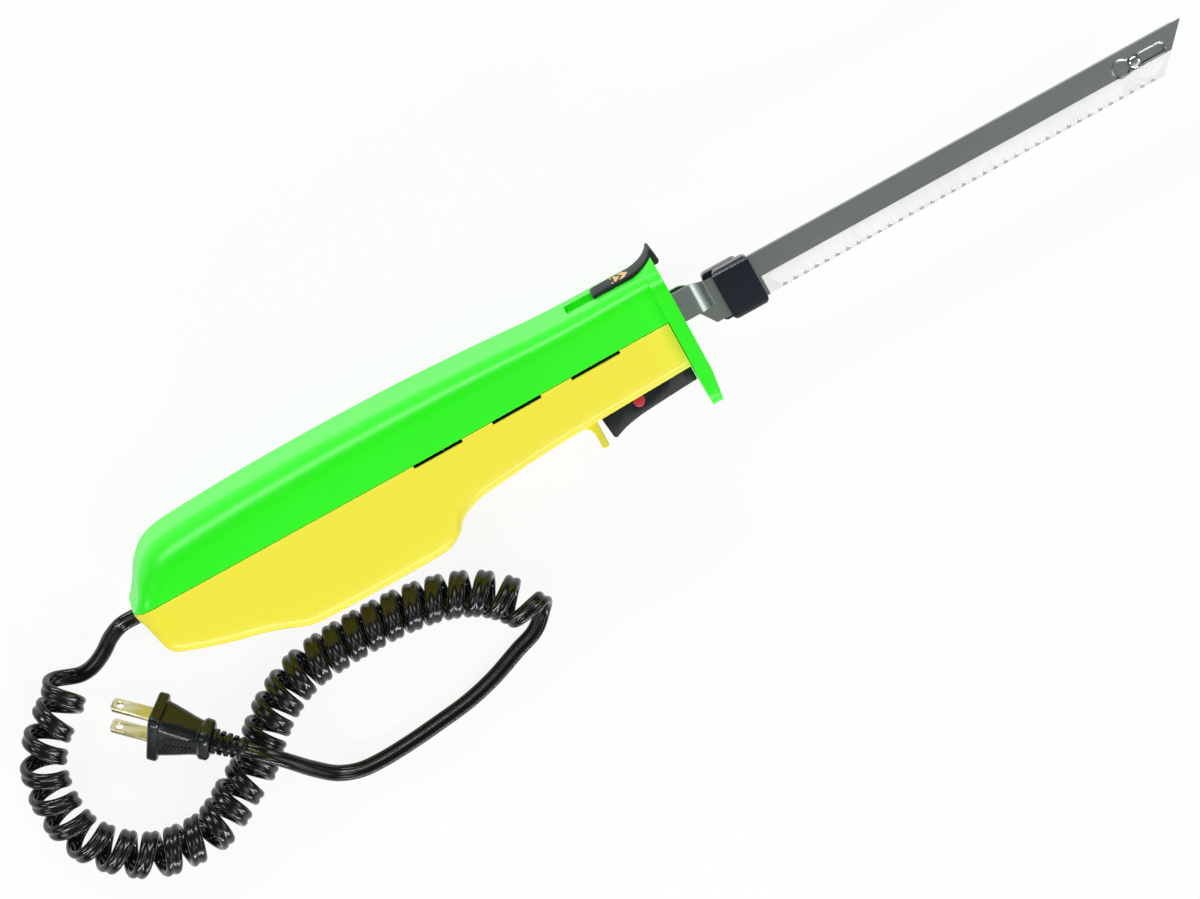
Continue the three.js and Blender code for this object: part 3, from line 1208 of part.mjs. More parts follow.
// One blade at mid stroke: shank, inward bend, flat blade with a ground bevel.
function blade(side) {
  const across = (a, b) => [Math.min(side * a, side * b), Math.max(side * a, side * b)];
  const shankInner = SHANK_Z - BLADE_THICK / 2;
  const shankOuter = SHANK_Z + BLADE_THICK / 2;
  const shankRear = SOCKET_REAR + SOCKET_FLOOR + SEAT_GAP;
  const bevelStart = CLIP_FRONT + BEVEL_SETBACK;
  const bend = [
    [BEND_START, shankInner, shankOuter, SHANK_TOP],
    [BEND_END, BLADE_INNER, BLADE_OUTER, BLADE_TOP],
    [BEND_END + 1, BLADE_INNER, BLADE_OUTER, BLADE_TOP],
  ].map(([x, z0, z1, top]) => [
    new THREE.Vector3(x, -SHANK_BOTTOM, side * z0),
    new THREE.Vector3(x, -SHANK_BOTTOM, side * z1),
    new THREE.Vector3(x, top, side * z1),
    new THREE.Vector3(x, top, side * z0),
  ]);
  const outline = [
    [BEND_END, BLADE_TOP],
    [BEND_END, -SHANK_BOTTOM],
    [BEND_END - HEEL_SLOPE, -SHANK_BOTTOM],
    [BEND_END - HEEL_SLOPE, -SHANK_BOTTOM - 0.8],
    [BEND_END, -BLADE_BOTTOM],
    ...serratedEdge(bevelStart + TOOTH_PITCH, BLADE_TIP - TIP_CUT).reverse(),
    [BLADE_TIP - TIP_CUT, -BLADE_BOTTOM],
    [BLADE_TIP, BLADE_TOP],
  ];
  const bevelTop = -BLADE_BOTTOM + BEVEL_HEIGHT;
  const bevel = bar(
    [
      [side * BLADE_OUTER, bevelTop],
      [side * (BLADE_OUTER + 1), bevelTop],
      [side * (BLADE_OUTER + 1), -BLADE_BOTTOM - 1],
      [side * (BLADE_INNER + EDGE_THICK), -BLADE_BOTTOM - 1],
      [side * (BLADE_INNER + EDGE_THICK), -BLADE_BOTTOM],
    ],
    bevelStart,
    BLADE_TIP + 1,
  );
  const shankSides = across(shankInner, shankOuter);
  const shank = box(shankRear, BEND_START + 0.01, -SHANK_BOTTOM, SHANK_TOP, ...shankSides);
  const flat = plate(outline, ...across(BLADE_INNER, BLADE_OUTER));
  return cut(join(shank, solid(loft(bend, inYZ)), flat), bevel);
}

// The near blade's keyhole: a round hole with a slot towards the tip, as long as the rivet's run.
function keyhole() {
  const x = BLADE_TIP - KEYHOLE_SETBACK;
  const half = KEYHOLE_SLOT / 2;
  const end = BLADE_TIP - RIVET_SETBACK + 2 * CRANK;
  const low = -KEYHOLE_DROP - half;
  return join(
    rod("z", KEYHOLE_R, -1, BLADE_OUTER + 1, [x, -KEYHOLE_DROP], 24),
    rod("z", half, -1, BLADE_OUTER + 1, [end, -KEYHOLE_DROP]),
    box(x, end, low, -KEYHOLE_DROP + half, -1, BLADE_OUTER + 1),
  );
}

function rivetHole() {
  return rod("z", RIVET_R + SEAT_GAP, -BLADE_OUTER - 1, 1, [BLADE_TIP - RIVET_SETBACK, -KEYHOLE_DROP], 16);
}

// A headed rivet that holds the far blade and runs in the near blade's slot.
function tipRivet() {
  const face = BLADE_OUTER + SEAT_GAP;
  const half = [
    [0, -face - RIVET_HEAD],
    [RIVET_HEAD_R - 0.5, -face - RIVET_HEAD],
    [RIVET_HEAD_R, -face - RIVET_HEAD / 2],
    [RIVET_HEAD_R, -face],
    [RIVET_R, -face],
    [RIVET_R, face],
    [RIVET_HEAD_R, face],
    [RIVET_HEAD_R, face + RIVET_HEAD / 2],
    [RIVET_HEAD_R - 0.7, face + RIVET_HEAD],
    [0, face + RIVET_HEAD],
  ];
  const profile = half.map(([r, z]) => new THREE.Vector2(r, z));
  const geometry = new THREE.LatheGeometry(profile, 16).rotateX(Math.PI / 2);
  return solid(geometry.translate(BLADE_TIP - RIVET_SETBACK, -KEYHOLE_DROP, 0));
}

// A plastic clip over the back and the edge of a blade.
function bladeClip(side) {
  const across = (a, b) => [Math.min(side * a, side * b), Math.max(side * a, side * b)];
  const outline = roundedRectangle(CLIP_REAR, CLIP_FRONT, -CLIP_BOTTOM, CLIP_TOP, CLIP_ROUND);
  const chamfer = 1.2;
  const rim = [
    [CLIP_OUTER - chamfer, CLIP_TOP + 0.01],
    [CLIP_OUTER + 0.01, CLIP_TOP - chamfer],
    [CLIP_OUTER + 1, CLIP_TOP + 1],
  ].map(([z, y]) => [side * z, y]);
  const low = -BLADE_BOTTOM - SEAT_GAP;
  const seat = across(-1, BLADE_OUTER + SEAT_GAP);
  return cut(
    plate(outline, ...across(BLADE_GAP, CLIP_OUTER), 3),
    bar(rim, CLIP_REAR - 1, CLIP_FRONT + 1),
    box(CLIP_REAR - 1, CLIP_FRONT + 1, low, BLADE_TOP + SEAT_GAP, ...seat),
  );
}

for (const [name, side] of [["near", 1], ["far", -1]]) {
  const hole = side === 1 ? keyhole() : rivetHole();
  const pieces = [
    piece(`${name}_drive_arm`, driveArm(side), NYLON, 0.5),
    piece(`${name}_blade`, cut(blade(side), hole), STEEL, 0.3, 1),
    piece(`${name}_blade_clip`, bladeClip(side), BLACK, 0.4),
  ];
  if (side === -1) pieces.push(piece("tip_rivet", tipRivet(), BRIGHT, 0.25, 1));
  for (const mesh of pieces) mesh.position.x = side * BLADE_SHIFT;
}

// Trigger and switch

function trigger() {
  const shape = new THREE.Shape();
  const belly = -FRONT_DEPTH;
  const tip = belly - TRIGGER_TIP_DROP;
  const front = belly - TRIGGER_FRONT_DROP;
  const low = switchDeepBottom() - RUN_GAP - triggerLift(SWITCH_DEEP_LENGTH + LUG_R + 2 * RUN_GAP);
  const step = SWITCH_FRONT - SWITCH_DEEP_LENGTH - 2 * RUN_GAP;
  shape.moveTo(TRIGGER_FRONT, front);
  shape.lineTo(TRIGGER_FRONT, low);
  shape.lineTo(PIVOT_X + LUG_R, low);
  shape.lineTo(PIVOT_X + LUG_R, PIVOT_Y).absarc(PIVOT_X, PIVOT_Y, LUG_R, 0, Math.PI);
  shape.lineTo(PIVOT_X - LUG_R, low);
  shape.lineTo(step, low);
  shape.lineTo(step, belly + TRIGGER_RISE);
  shape.lineTo(TRIGGER_REAR, belly + TRIGGER_RISE);
  shape.lineTo(TRIGGER_REAR + 0.2, -FRONT_DEPTH - 3);
  shape.lineTo(TRIGGER_REAR + 1.2, tip + 0.8);
  shape.quadraticCurveTo(TRIGGER_REAR + 1.6, tip, TRIGGER_REAR + 2.4, tip);
  shape.quadraticCurveTo(TRIGGER_REAR + 8, front - 2.4, TRIGGER_REAR + 17, front - 1.6);
  shape.quadraticCurveTo(TRIGGER_REAR + 28, front - 0.7, TRIGGER_FRONT, front);
  const half = TRIGGER_HALF_WIDTH;
  const springX = PIVOT_X - TRIGGER_SPRING_SETBACK;
  const pocketTop = belly + TRIGGER_RISE;
  return cut(
    plate(shape, -half, half, 5),
    rod("z", PIVOT_R + RUN_GAP / 2, -half - 1, half + 1, [PIVOT_X, PIVOT_Y], 14),
    rod("z", LOCK_R + SEAT_GAP, -half - 1, half + 1, lockPlace(), 20),
    rod("y", TRIGGER_SPRING_R + 1.2, pocketTop - TRIGGER_POCKET, pocketTop + 1, [springX, 0]),
  );
}

function lockPlace() {
  return [GUARD_BACK - LOCK_SETBACK, -FRONT_DEPTH - LOCK_DROP];
}

// How far the pressed trigger rises at a distance behind its pivot.
function triggerLift(distance) {
  return distance * Math.tan(THREE.MathUtils.degToRad(TRIGGER_TRAVEL));
}

function switchDeepBottom() {
  return -SWITCH_TOP - SWITCH_DEEP;
}

function lockButton() {
  const half = TRIGGER_HALF_WIDTH;
  return rod("z", LOCK_R, -half + LOCK_STAND - LOCK_TRAVEL, half + LOCK_STAND, lockPlace(), 24);
}

// The switch: a shallow end that the trigger's spring bears on and a deep end with the plunger.
function switchBody() {
  const top = -SWITCH_TOP;
  const deepRear = SWITCH_FRONT - SWITCH_DEEP_LENGTH;
  const half = SWITCH_HALF_WIDTH;
  const bottom = switchDeepBottom();
  const boreTop = plungerTop() + triggerLift(PLUNGER_SETBACK) + 1;
  const bore = rod("y", PLUNGER_R + RUN_GAP, bottom - 1, boreTop, plungerPlace());
  return cut(
    join(
      box(SWITCH_REAR, SWITCH_FRONT, top - SWITCH_SHALLOW, top, -half, half),
      box(deepRear, SWITCH_FRONT, bottom, top, -half, half),
    ),
    bore,
  );
}

function plungerPlace() {
  return [PIVOT_X - PLUNGER_SETBACK, 0];
}

function plungerBottom() {
  return switchDeepBottom() - RUN_GAP - triggerLift(SWITCH_DEEP_LENGTH + LUG_R + 2 * RUN_GAP) + SEAT_GAP;
}

function plungerTop() {
  return plungerBottom() + PLUNGER_LENGTH;
}

function triggerSpring() {
  const floor = -FRONT_DEPTH + TRIGGER_RISE - TRIGGER_POCKET + SEAT_GAP;
  const seat = -SWITCH_TOP - SWITCH_SHALLOW - SEAT_GAP;
  return spring("y", TRIGGER_SPRING_R, floor, seat, [PIVOT_X - TRIGGER_SPRING_SETBACK, 0], 5, 0.4);
}

piece("trigger", trigger(), BLACK, 0.4);
piece("trigger_lock_button", lockButton(), RED, 0.35);
piece("trigger_pin", rod("z", PIVOT_R, -PIN_END, PIN_END, [PIVOT_X, PIVOT_Y], 14), BRIGHT, 0.3, 1);
piece("trigger_spring", triggerSpring(), BRIGHT, 0.35, 1);
piece("switch_body", switchBody(), BLACK, 0.6);
piece("switch_plunger", rod("y", PLUNGER_R, plungerBottom(), plungerTop(), plungerPlace()), NYLON, 0.5);

// Thumb slide

// The slide: a flat tongue in its channel, a low deck and a lip that curls up over the guard.
function releaseSlider() {
  const back = FRONT_HEIGHT;
  const deck = back + SLIDE_STAND;
  const lipFoot = GUARD_BACK - 4;
  const lipFront = GUARD_BACK + LIP_REACH;
  const shape = new THREE.Shape();
  shape.moveTo(SLIDE_REAR, CHANNEL_Y + SEAT_GAP);
  shape.lineTo(GUARD_BACK - SEAT_GAP - 1, CHANNEL_Y + SEAT_GAP);
  shape.lineTo(GUARD_BACK - SEAT_GAP - 1, back + SEAT_GAP);
  shape.lineTo(lipFront - 0.8, back + SEAT_GAP);
  shape.lineTo(lipFront, back + 1.4);
  shape.lineTo(lipFront - 0.8, back + LIP_HEIGHT - 0.6);
  shape.quadraticCurveTo(lipFront - 1, back + LIP_HEIGHT, lipFront - 1.8, back + LIP_HEIGHT);
  shape.quadraticCurveTo(lipFront - 4, deck + 0.9, lipFoot, deck);
  shape.lineTo(SLIDE_REAR + 1, deck);
  shape.lineTo(SLIDE_REAR, deck - 1);
  const half = SLIDE_HALF_WIDTH;
  const leg = LEG_HALF_WIDTH;
  const legBottom = LATCH_TOP + SEAT_GAP;
  return join(
    plate(shape, -half, half, 6),
    box(LEG_REAR, LEG_REAR + LEG_LENGTH, legBottom, CHANNEL_Y + SEAT_GAP + 0.5, -leg, leg),
  );
}

function releaseLatch() {
  const half = LATCH_HALF_WIDTH;
  return box(LATCH_REAR, LATCH_REAR + LATCH_LENGTH, LATCH_BOTTOM, LATCH_TOP, -half, half);
}

function releaseSpring() {
  const from = springRibFront() + SEAT_GAP;
  const place = [(LATCH_BOTTOM + LATCH_TOP) / 2, 0];
  return spring("x", RELEASE_SPRING_R, from, LATCH_REAR - SEAT_GAP, place, 5, 0.4);
}

piece("release_slider", releaseSlider(), BLACK, 0.45);
piece("release_latch", releaseLatch(), STEEL, 0.4, 0.9);
piece("release_spring", releaseSpring(), BRIGHT, 0.35, 1);

// Cord

const onTable = ([x, y, z]) => new THREE.Vector3(x, y, z - HALF_WIDTH);

// The middle line of the curls: a left-handed helix round the route that the curls lie along. The curls stand
// wider apart towards the handle and on the inside of a bend, and the first and last end under the coil.
function curlPlaces() {
  const height = CURL_R + CORD_REST;
  const route = new THREE.CatmullRomCurve3(
    CURL_ROUTE.map(([x, y]) => onTable([x, y, height])),
    false,
    "centripetal",
  );
  route.arcLengthDivisions = 600;
  const samples = 600;
  const share = [0];
  for (let i = 1; i <= samples; i++) {
    const t = i / samples;
    const bend = route.getTangentAt(t).angleTo(route.getTangentAt(t - 1 / samples));
    const crowding = 1 + (bend * CURL_R * samples) / route.getLength();
    const pitch = THREE.MathUtils.lerp(CURL_FIRST_PITCH, CURL_LAST_PITCH, t);
    share.push(share[i - 1] + 1 / (pitch * crowding));
  }
  const steps = CURLS * CURL_STEPS;
  const up = new THREE.Vector3(0, 0, 1);
  let sample = 0;
  return Array.from({ length: steps + 1 }, (_, i) => {
    const wanted = (share[samples] * i) / steps;
    while (sample < samples && share[sample + 1] < wanted) sample++;
    const part = sample < samples ? (wanted - share[sample]) / (share[sample + 1] - share[sample]) : 0;
    const t = Math.min(1, (sample + part) / samples);
    const axis = route.getTangentAt(t);
    const side = axis.clone().cross(up);
    const angle = (2 * Math.PI * i) / CURL_STEPS;
    const outward = up.clone().multiplyScalar(-Math.cos(angle)).addScaledVector(side, Math.sin(angle));
    const open = THREE.MathUtils.smoothstep((i - steps) / CURL_STEPS, -LOOP_SHARE, 0);
    const at = route.getPointAt(t).addScaledVector(outward, CURL_R).addScaledVector(axis, LAST_LOOP * open);
    return { at, across: axis, up: outward };
  });
}

// A place further along the line that two places of the curls give, with the cord turned as at the first.
function straightOn(place, from, length) {
  const heading = place.at.clone().sub(from.at).setZ(0).normalize();
  const across = new THREE.Vector3(0, 0, 1).cross(heading);
  return { at: place.at.clone().addScaledVector(heading, length), across, up: heading.clone().cross(across) };
}

// The least distance between points of the tube that lie most of a curl or more apart along it.
function leastSelfGap(places, section) {
  const rings = places.map(({ at, across, up }) =>
    section.map(([a, b]) => at.clone().addScaledVector(across, a).addScaledVector(up, b)),
  );
  let least = Infinity;
  for (let i = 0; i < rings.length; i++) {
    const end = Math.min(rings.length, i + 2 * CURL_STEPS);
    for (let j = i + CURL_STEPS - 2; j < end; j++) {
      for (const a of rings[i]) for (const b of rings[j]) least = Math.min(least, a.distanceTo(b));
    }
  }
  return least;
}

const curls = curlPlaces();
const leadEnd = straightOn(curls[0], curls[1], CORD_WIDTH);
const tailStart = straightOn(curls.at(-1), curls.at(-2), CORD_WIDTH);
const curlSection = oval(CORD_WIDTH, CORD_THICK, 6);
leadEnd.across.negate();
leadEnd.up = new THREE.Vector3(0, 0, -1);
tailStart.up = new THREE.Vector3(0, 0, -1);
const curlTube = [leadEnd, ...curls, tailStart].map(({ at, up }, i, all) => {
  const before = all[Math.max(0, i - 1)].at;
  const after = all[Math.min(all.length - 1, i + 1)].at;
  const heading = after.clone().sub(before).normalize();
  const across = heading.clone().cross(up).normalize();
  return { at, across, up: across.clone().cross(heading) };
});
console.log("least gap between the curls", leastSelfGap(curlTube, curlSection).toFixed(2), "mm");
piece("cord_curls", sweep(curlTube, curlSection), BLACK, 0.4);

const cordSection = oval(CORD_WIDTH, CORD_THICK, 8);
const leadHeading = curls[0].at.clone().sub(leadEnd.at).normalize();
const cordExit = GROMMET_REAR - SEAT_GAP;
const leadStart = [cordExit, cordExit - CORD_WIDTH].map((x) => [x, -CORD_EXIT_DROP, HALF_WIDTH]);
const leadPoints = [
  ...[...leadStart, ...LEAD_ROUTE].map(onTable),
  leadEnd.at.clone().addScaledVector(leadHeading, -SEAT_GAP - CORD_WIDTH / 2),
  leadEnd.at.clone().addScaledVector(leadHeading, -SEAT_GAP),
];
piece("cord_lead", sweep(levelPlaces(leadPoints, CORD_WIDTH), cordSection), BLACK, 0.4);

// Plug, in a frame with x along the cord, y from prong to prong and z along a prong's width

const plugFace = onTable(PLUG_FACE);
const plugTail = onTable(PLUG_TAIL);
const plugAxis = plugTail.clone().sub(plugFace).normalize();
const plugLevel = new THREE.Vector3(0, 0, 1).cross(plugAxis).normalize();
const plug = new THREE.Group();
plug.position.copy(plugFace);
plug.setRotationFromMatrix(
  new THREE.Matrix4().makeBasis(plugAxis, plugLevel, plugAxis.clone().cross(plugLevel)),
);
plug.rotateX(THREE.MathUtils.degToRad(PLUG_ROLL));

const tailHeading = tailStart.at.clone().sub(curls.at(-1).at).normalize();
const tailPoints = [
  tailStart.at.clone().addScaledVector(tailHeading, SEAT_GAP),
  tailStart.at.clone().addScaledVector(tailHeading, SEAT_GAP + CORD_WIDTH / 2),
  ...TAIL_ROUTE.map(onTable),
  plugTail.clone().addScaledVector(plugAxis, SEAT_GAP + CORD_WIDTH),
  plugTail.clone().addScaledVector(plugAxis, SEAT_GAP),
];
piece("cord_tail", sweep(levelPlaces(tailPoints, CORD_WIDTH), cordSection), BLACK, 0.4);

// A section of the plug: a rectangle with cut corners.
function plugRing(x, width, depth) {
  const corner = 2.5;
  const [w, d] = [width / 2, depth / 2];
  const points = [
    [w, d - corner],
    [w - corner, d],
    [corner - w, d],
    [-w, d - corner],
    [-w, corner - d],
    [corner - w, -d],
    [w - corner, -d],
    [w, corner - d],
  ];
  return points.map(([y, z]) => new THREE.Vector3(x, y, z));
}

// The moulded body: a flange at the face, a waisted grip and a collar.
function plugBody() {
  const collar = PLUG_LENGTH - PLUG_COLLAR;
  const rings = [
    plugRing(0, PLUG_FLANGE_WIDTH, PLUG_FLANGE_DEPTH),
    plugRing(PLUG_FLANGE - 1, PLUG_FLANGE_WIDTH, PLUG_FLANGE_DEPTH),
    plugRing(PLUG_FLANGE, PLUG_WIDTH, PLUG_DEPTH),
    plugRing(collar - 1, PLUG_NECK_WIDTH, PLUG_NECK_DEPTH),
    plugRing(collar, PLUG_COLLAR_WIDTH, PLUG_COLLAR_DEPTH),
    plugRing(PLUG_LENGTH, PLUG_COLLAR_WIDTH - 2, PLUG_COLLAR_DEPTH - 2),
  ];
  const seats = [1, -1].map((side) => {
    const y = side * (PRONG_PIN_SPACING / 2);
    const [w, t] = [PRONG_PIN_WIDTH / 2 + SEAT_GAP, PRONG_PIN_THICK / 2 + SEAT_GAP];
    return box(-1, PLUG_FLANGE, y - t, y + t, -w, w);
  });
  return cut(solid(loft(rings, inYZ)), ...seats);
}

function plugProng(side) {
  const y = side * (PRONG_PIN_SPACING / 2);
  const half = PRONG_PIN_THICK / 2;
  const wide = PRONG_PIN_WIDTH / 2;
  const tip = -PRONG_PIN_LENGTH;
  const hole = rod("y", PRONG_PIN_HOLE_R, y - 2, y + 2, [tip + PRONG_PIN_HOLE_SETBACK, 0], 14);
  return cut(box(tip, PLUG_FLANGE - SEAT_GAP, y - half, y + half, -wide, wide), hole);
}

// The ribbed sleeve behind the plug, tapering towards the cord.
function plugRelief() {
  const from = PLUG_LENGTH + SEAT_GAP;
  const to = plugTail.distanceTo(plugFace);
  const pitch = (to - from) / SLEEVE_RIBS;
  const profile = [new THREE.Vector2(0, from)];
  for (let k = 0; k < SLEEVE_RIBS; k++) {
    const radius = THREE.MathUtils.lerp(SLEEVE_R, SLEEVE_END_R, k / (SLEEVE_RIBS - 1));
    const start = from + k * pitch;
    profile.push(new THREE.Vector2(radius, start), new THREE.Vector2(radius, start + 0.6 * pitch));
    if (k + 1 === SLEEVE_RIBS) break;
    profile.push(new THREE.Vector2(radius - SLEEVE_GROOVE, start + 0.65 * pitch));
    profile.push(new THREE.Vector2(radius - SLEEVE_GROOVE, start + 0.95 * pitch));
  }
  profile.push(new THREE.Vector2(SLEEVE_END_R - 0.3, to), new THREE.Vector2(0, to));
  return solid(new THREE.LatheGeometry(profile, 14).rotateZ(-Math.PI / 2));
}

plug.add(
  piece("plug_body", plugBody(), BLACK, 0.45),
  piece("plug_prong_upper", plugProng(1), BRASS, 0.35, 1),
  piece("plug_prong_lower", plugProng(-1), BRASS, 0.35, 1),
  piece("plug_relief", plugRelief(), BLACK, 0.5),
);

// Grommet and wires

function grommet() {
  const low = -CORD_EXIT_DROP - GROMMET_HALF_HEIGHT;
  const high = -CORD_EXIT_DROP + GROMMET_HALF_HEIGHT;
  return box(GROMMET_REAR, GROMMET_FRONT, low, high, -GROMMET_HALF_WIDTH, GROMMET_HALF_WIDTH);
}

// A wire on a smooth path through points of the handle.
function wire(points) {
  const path = points.map(([x, y, z]) => new THREE.Vector3(x, y, z));
  return sweep(levelPlaces(path, 7), circle(WIRE_R, 6));
}

const wireHeight = CROWN_HEIGHT - WALL - WIRE_DROP;
const wireSide = FRAME_OUTER + WIRE_SETOFF;
const grommetEnd = GROMMET_FRONT + SEAT_GAP;
const switchEnd = [SWITCH_REAR - SEAT_GAP, -SWITCH_TOP - SWITCH_SHALLOW / 2];
const coilEnd = [STACK_REAR - COIL_WIDTH - 2 * SEAT_GAP, MOTOR_Y + (COIL_FLOOR + COIL_CEILING) / 2];
const alongHandle = (side) => [
  [STACK_REAR, wireHeight, side * wireSide],
  [STACK_FRONT, wireHeight, side * wireSide],
  [FRAME_REAR, wireHeight, side * wireSide],
  [FRAME_FRONT, wireHeight - 1.5, side * wireSide],
  [SWITCH_REAR - 8, 3, side * (wireSide - 1.5)],
  [SWITCH_REAR - 6, -6, side * (wireSide - 4)],
  [switchEnd[0] - 2.5, switchEnd[1], side * 5],
  [...switchEnd, side * 5],
];
const supplyRoute = [
  [grommetEnd, -CORD_EXIT_DROP + 1.6, 0],
  [grommetEnd + 3, -CORD_EXIT_DROP + 1.6, 0],
  [BRACKET_REAR - 8, 11, 6],
  [BRACKET_REAR, 13, 11],
  ...alongHandle(1),
];
const returnRoute = [
  [grommetEnd, -CORD_EXIT_DROP - 1.6, 0],
  [grommetEnd + 3, -CORD_EXIT_DROP - 1.6, 0],
  [BRACKET_REAR - 8, 11, -8],
  [BRACKET_FRONT, 12, -11],
  [BRUSH_X, 8, -8],
  [coilEnd[0] - 3, coilEnd[1], -5],
  [...coilEnd, -5],
];
const motorRoute = [
  [BRUSH_X, MOTOR_Y + HOLDER_HALF + SEAT_GAP, -HOLDER_INNER - HOLDER_LENGTH / 2],
  [BRUSH_X, MOTOR_Y + HOLDER_HALF + 4, -HOLDER_INNER - HOLDER_LENGTH / 2],
  [BRUSH_X + 4, wireHeight - 4, -wireSide],
  ...alongHandle(-1),
];
piece("cord_grommet", grommet(), BLACK, 0.6);
piece("supply_wire", wire(supplyRoute), BLACK, 0.5);
piece("return_wire", wire(returnRoute), NYLON, 0.5);
piece("motor_wire", wire(motorRoute), BLACK, 0.5);

const knife = new THREE.Group();
knife.position.set(-ORIGIN_X, -ORIGIN_Y, HALF_WIDTH);
knife.add(...meshes.filter((mesh) => mesh.parent === null), plug);
const part = new THREE.Group();
part.add(knife);

export default part;
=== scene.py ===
"""The looks of an electric fillet knife: two-tone handle, paired serrated blades, curly cord and plug.

Everything is drawn in millimetres in the knife's own axes: x runs from the rear of the handle to the blade
tips, y from the heel to the thumb slide and z across the handle from its middle plane. place() turns such a
point into the frame's metres.
"""

import logging
import math
from dataclasses import dataclass, field
from enum import Enum
from typing import Callable, Sequence, Union

import bmesh
import bpy
import numpy as np
from mathutils import Matrix, Vector


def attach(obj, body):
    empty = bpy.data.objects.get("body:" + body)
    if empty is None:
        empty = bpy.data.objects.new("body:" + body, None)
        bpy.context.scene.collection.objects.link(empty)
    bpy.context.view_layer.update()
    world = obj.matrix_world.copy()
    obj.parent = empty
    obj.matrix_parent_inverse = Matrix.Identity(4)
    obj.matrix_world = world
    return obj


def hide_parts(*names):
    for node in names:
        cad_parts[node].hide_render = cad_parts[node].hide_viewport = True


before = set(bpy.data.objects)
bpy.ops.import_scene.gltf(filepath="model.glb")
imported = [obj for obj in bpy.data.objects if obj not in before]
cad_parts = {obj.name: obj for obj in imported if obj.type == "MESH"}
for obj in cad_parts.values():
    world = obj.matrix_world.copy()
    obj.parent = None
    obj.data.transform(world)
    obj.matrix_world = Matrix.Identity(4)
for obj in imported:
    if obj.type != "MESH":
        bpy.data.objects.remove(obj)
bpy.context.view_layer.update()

LOG = logging.getLogger("fillet_knife")

Point = Sequence[float]
Outline = Sequence[Sequence[float]]

MM = 0.001
ORIGIN = Vector((88.0, -14.0, -26.0))  # the frame's origin in the knife's axes
TABLE_Z = -26.0  # what the knife lies on, in the knife's axes


class Side(Enum):
    """A side of the knife: near faces up, far lies on the table."""

    NEAR = 1
    FAR = -1


class Body(Enum):
    """The bodies of the frame that the pieces ride on."""

    HANDLE = "handle"
    NEAR_BLADE = "near_blade_set"
    FAR_BLADE = "far_blade_set"
    TRIGGER = "trigger"
    LOCK = "lock_button"
    RELEASE = "release"


# Small helpers


def place(point: Point) -> Vector:
    """Turn a point in the knife's axes into the frame's metres.

    Args:
        point: The point in millimetres.

    Returns:
        The same point in metres from the frame's origin.
    """
    return (Vector(point) - ORIGIN) * MM


def linear(code: str) -> tuple[float, float, float, float]:
    """Turn an sRGB hex colour into linear numbers.

    Args:
        code: The colour, such as "#33EB23".

    Returns:
        Red, green, blue and an alpha of one.
    """
    channels = [int(code[i : i + 2], 16) / 255 for i in (1, 3, 5)]
    red, green, blue = [c / 12.92 if c <= 0.04045 else ((c + 0.055) / 1.055) ** 2.4 for c in channels]
    return red, green, blue, 1.0


def add(
    tree: bpy.types.NodeTree, kind: str, inputs: dict | None = None, **settings: object
) -> bpy.types.Node:
    """Add a node to a tree, with its settings and its inputs.

    Args:
        tree: The tree that gets the node.
        kind: Blender's name of the node's type.
        inputs: A value or a socket to link for each input, by name or number.
        **settings: Properties of the node.

    Returns:
        The node.
    """
    node = tree.nodes.new(kind)
    for name, value in settings.items():
        setattr(node, name, value)
    for key, value in (inputs or {}).items():
        if isinstance(value, bpy.types.NodeSocket):
            tree.links.new(value, node.inputs[key])
        else:
            node.inputs[key].default_value = value
    return node


# Finishes


@dataclass(frozen=True)
class Finish:
    """A material: what it is, how it was made and what that gives the eye."""

    name: str
    color: str
    roughness: float
    slot: str
    metallic: float = 0.0
    ior: float = 1.5

    def material(self) -> bpy.types.Material:
        """Make the material, or give back the one that was made before."""
        found = bpy.data.materials.get(self.name)
        if found is not None:
            return found
        material = bpy.data.materials.new(self.name)
        material.use_nodes = True
        tree = material.node_tree
        shader = tree.nodes["Principled BSDF"]
        shader.inputs["Metallic"].default_value = self.metallic
        shader.inputs["IOR"].default_value = self.ior
        shader.inputs["Base Color"].default_value = linear(self.color)
        shader.inputs["Roughness"].default_value = self.roughness
        material.diffuse_color = linear(self.color)
        place_texture = add(tree, "ShaderNodeTexCoord").outputs["Object"]
        self.detail(tree, shader, place_texture)
        return material

    def detail(self, tree: bpy.types.NodeTree, shader: bpy.types.Node, at: bpy.types.NodeSocket) -> None:
        """Add what the surface shows beyond one colour.

        Args:
            tree: The material's nodes.
            shader: Its principled shader.
            at: Object coordinates, in metres.
        """


def per_mm(size: float) -> float:
    """A texture's scale whose grain is that many millimetres."""
    return 1 / (size * MM)


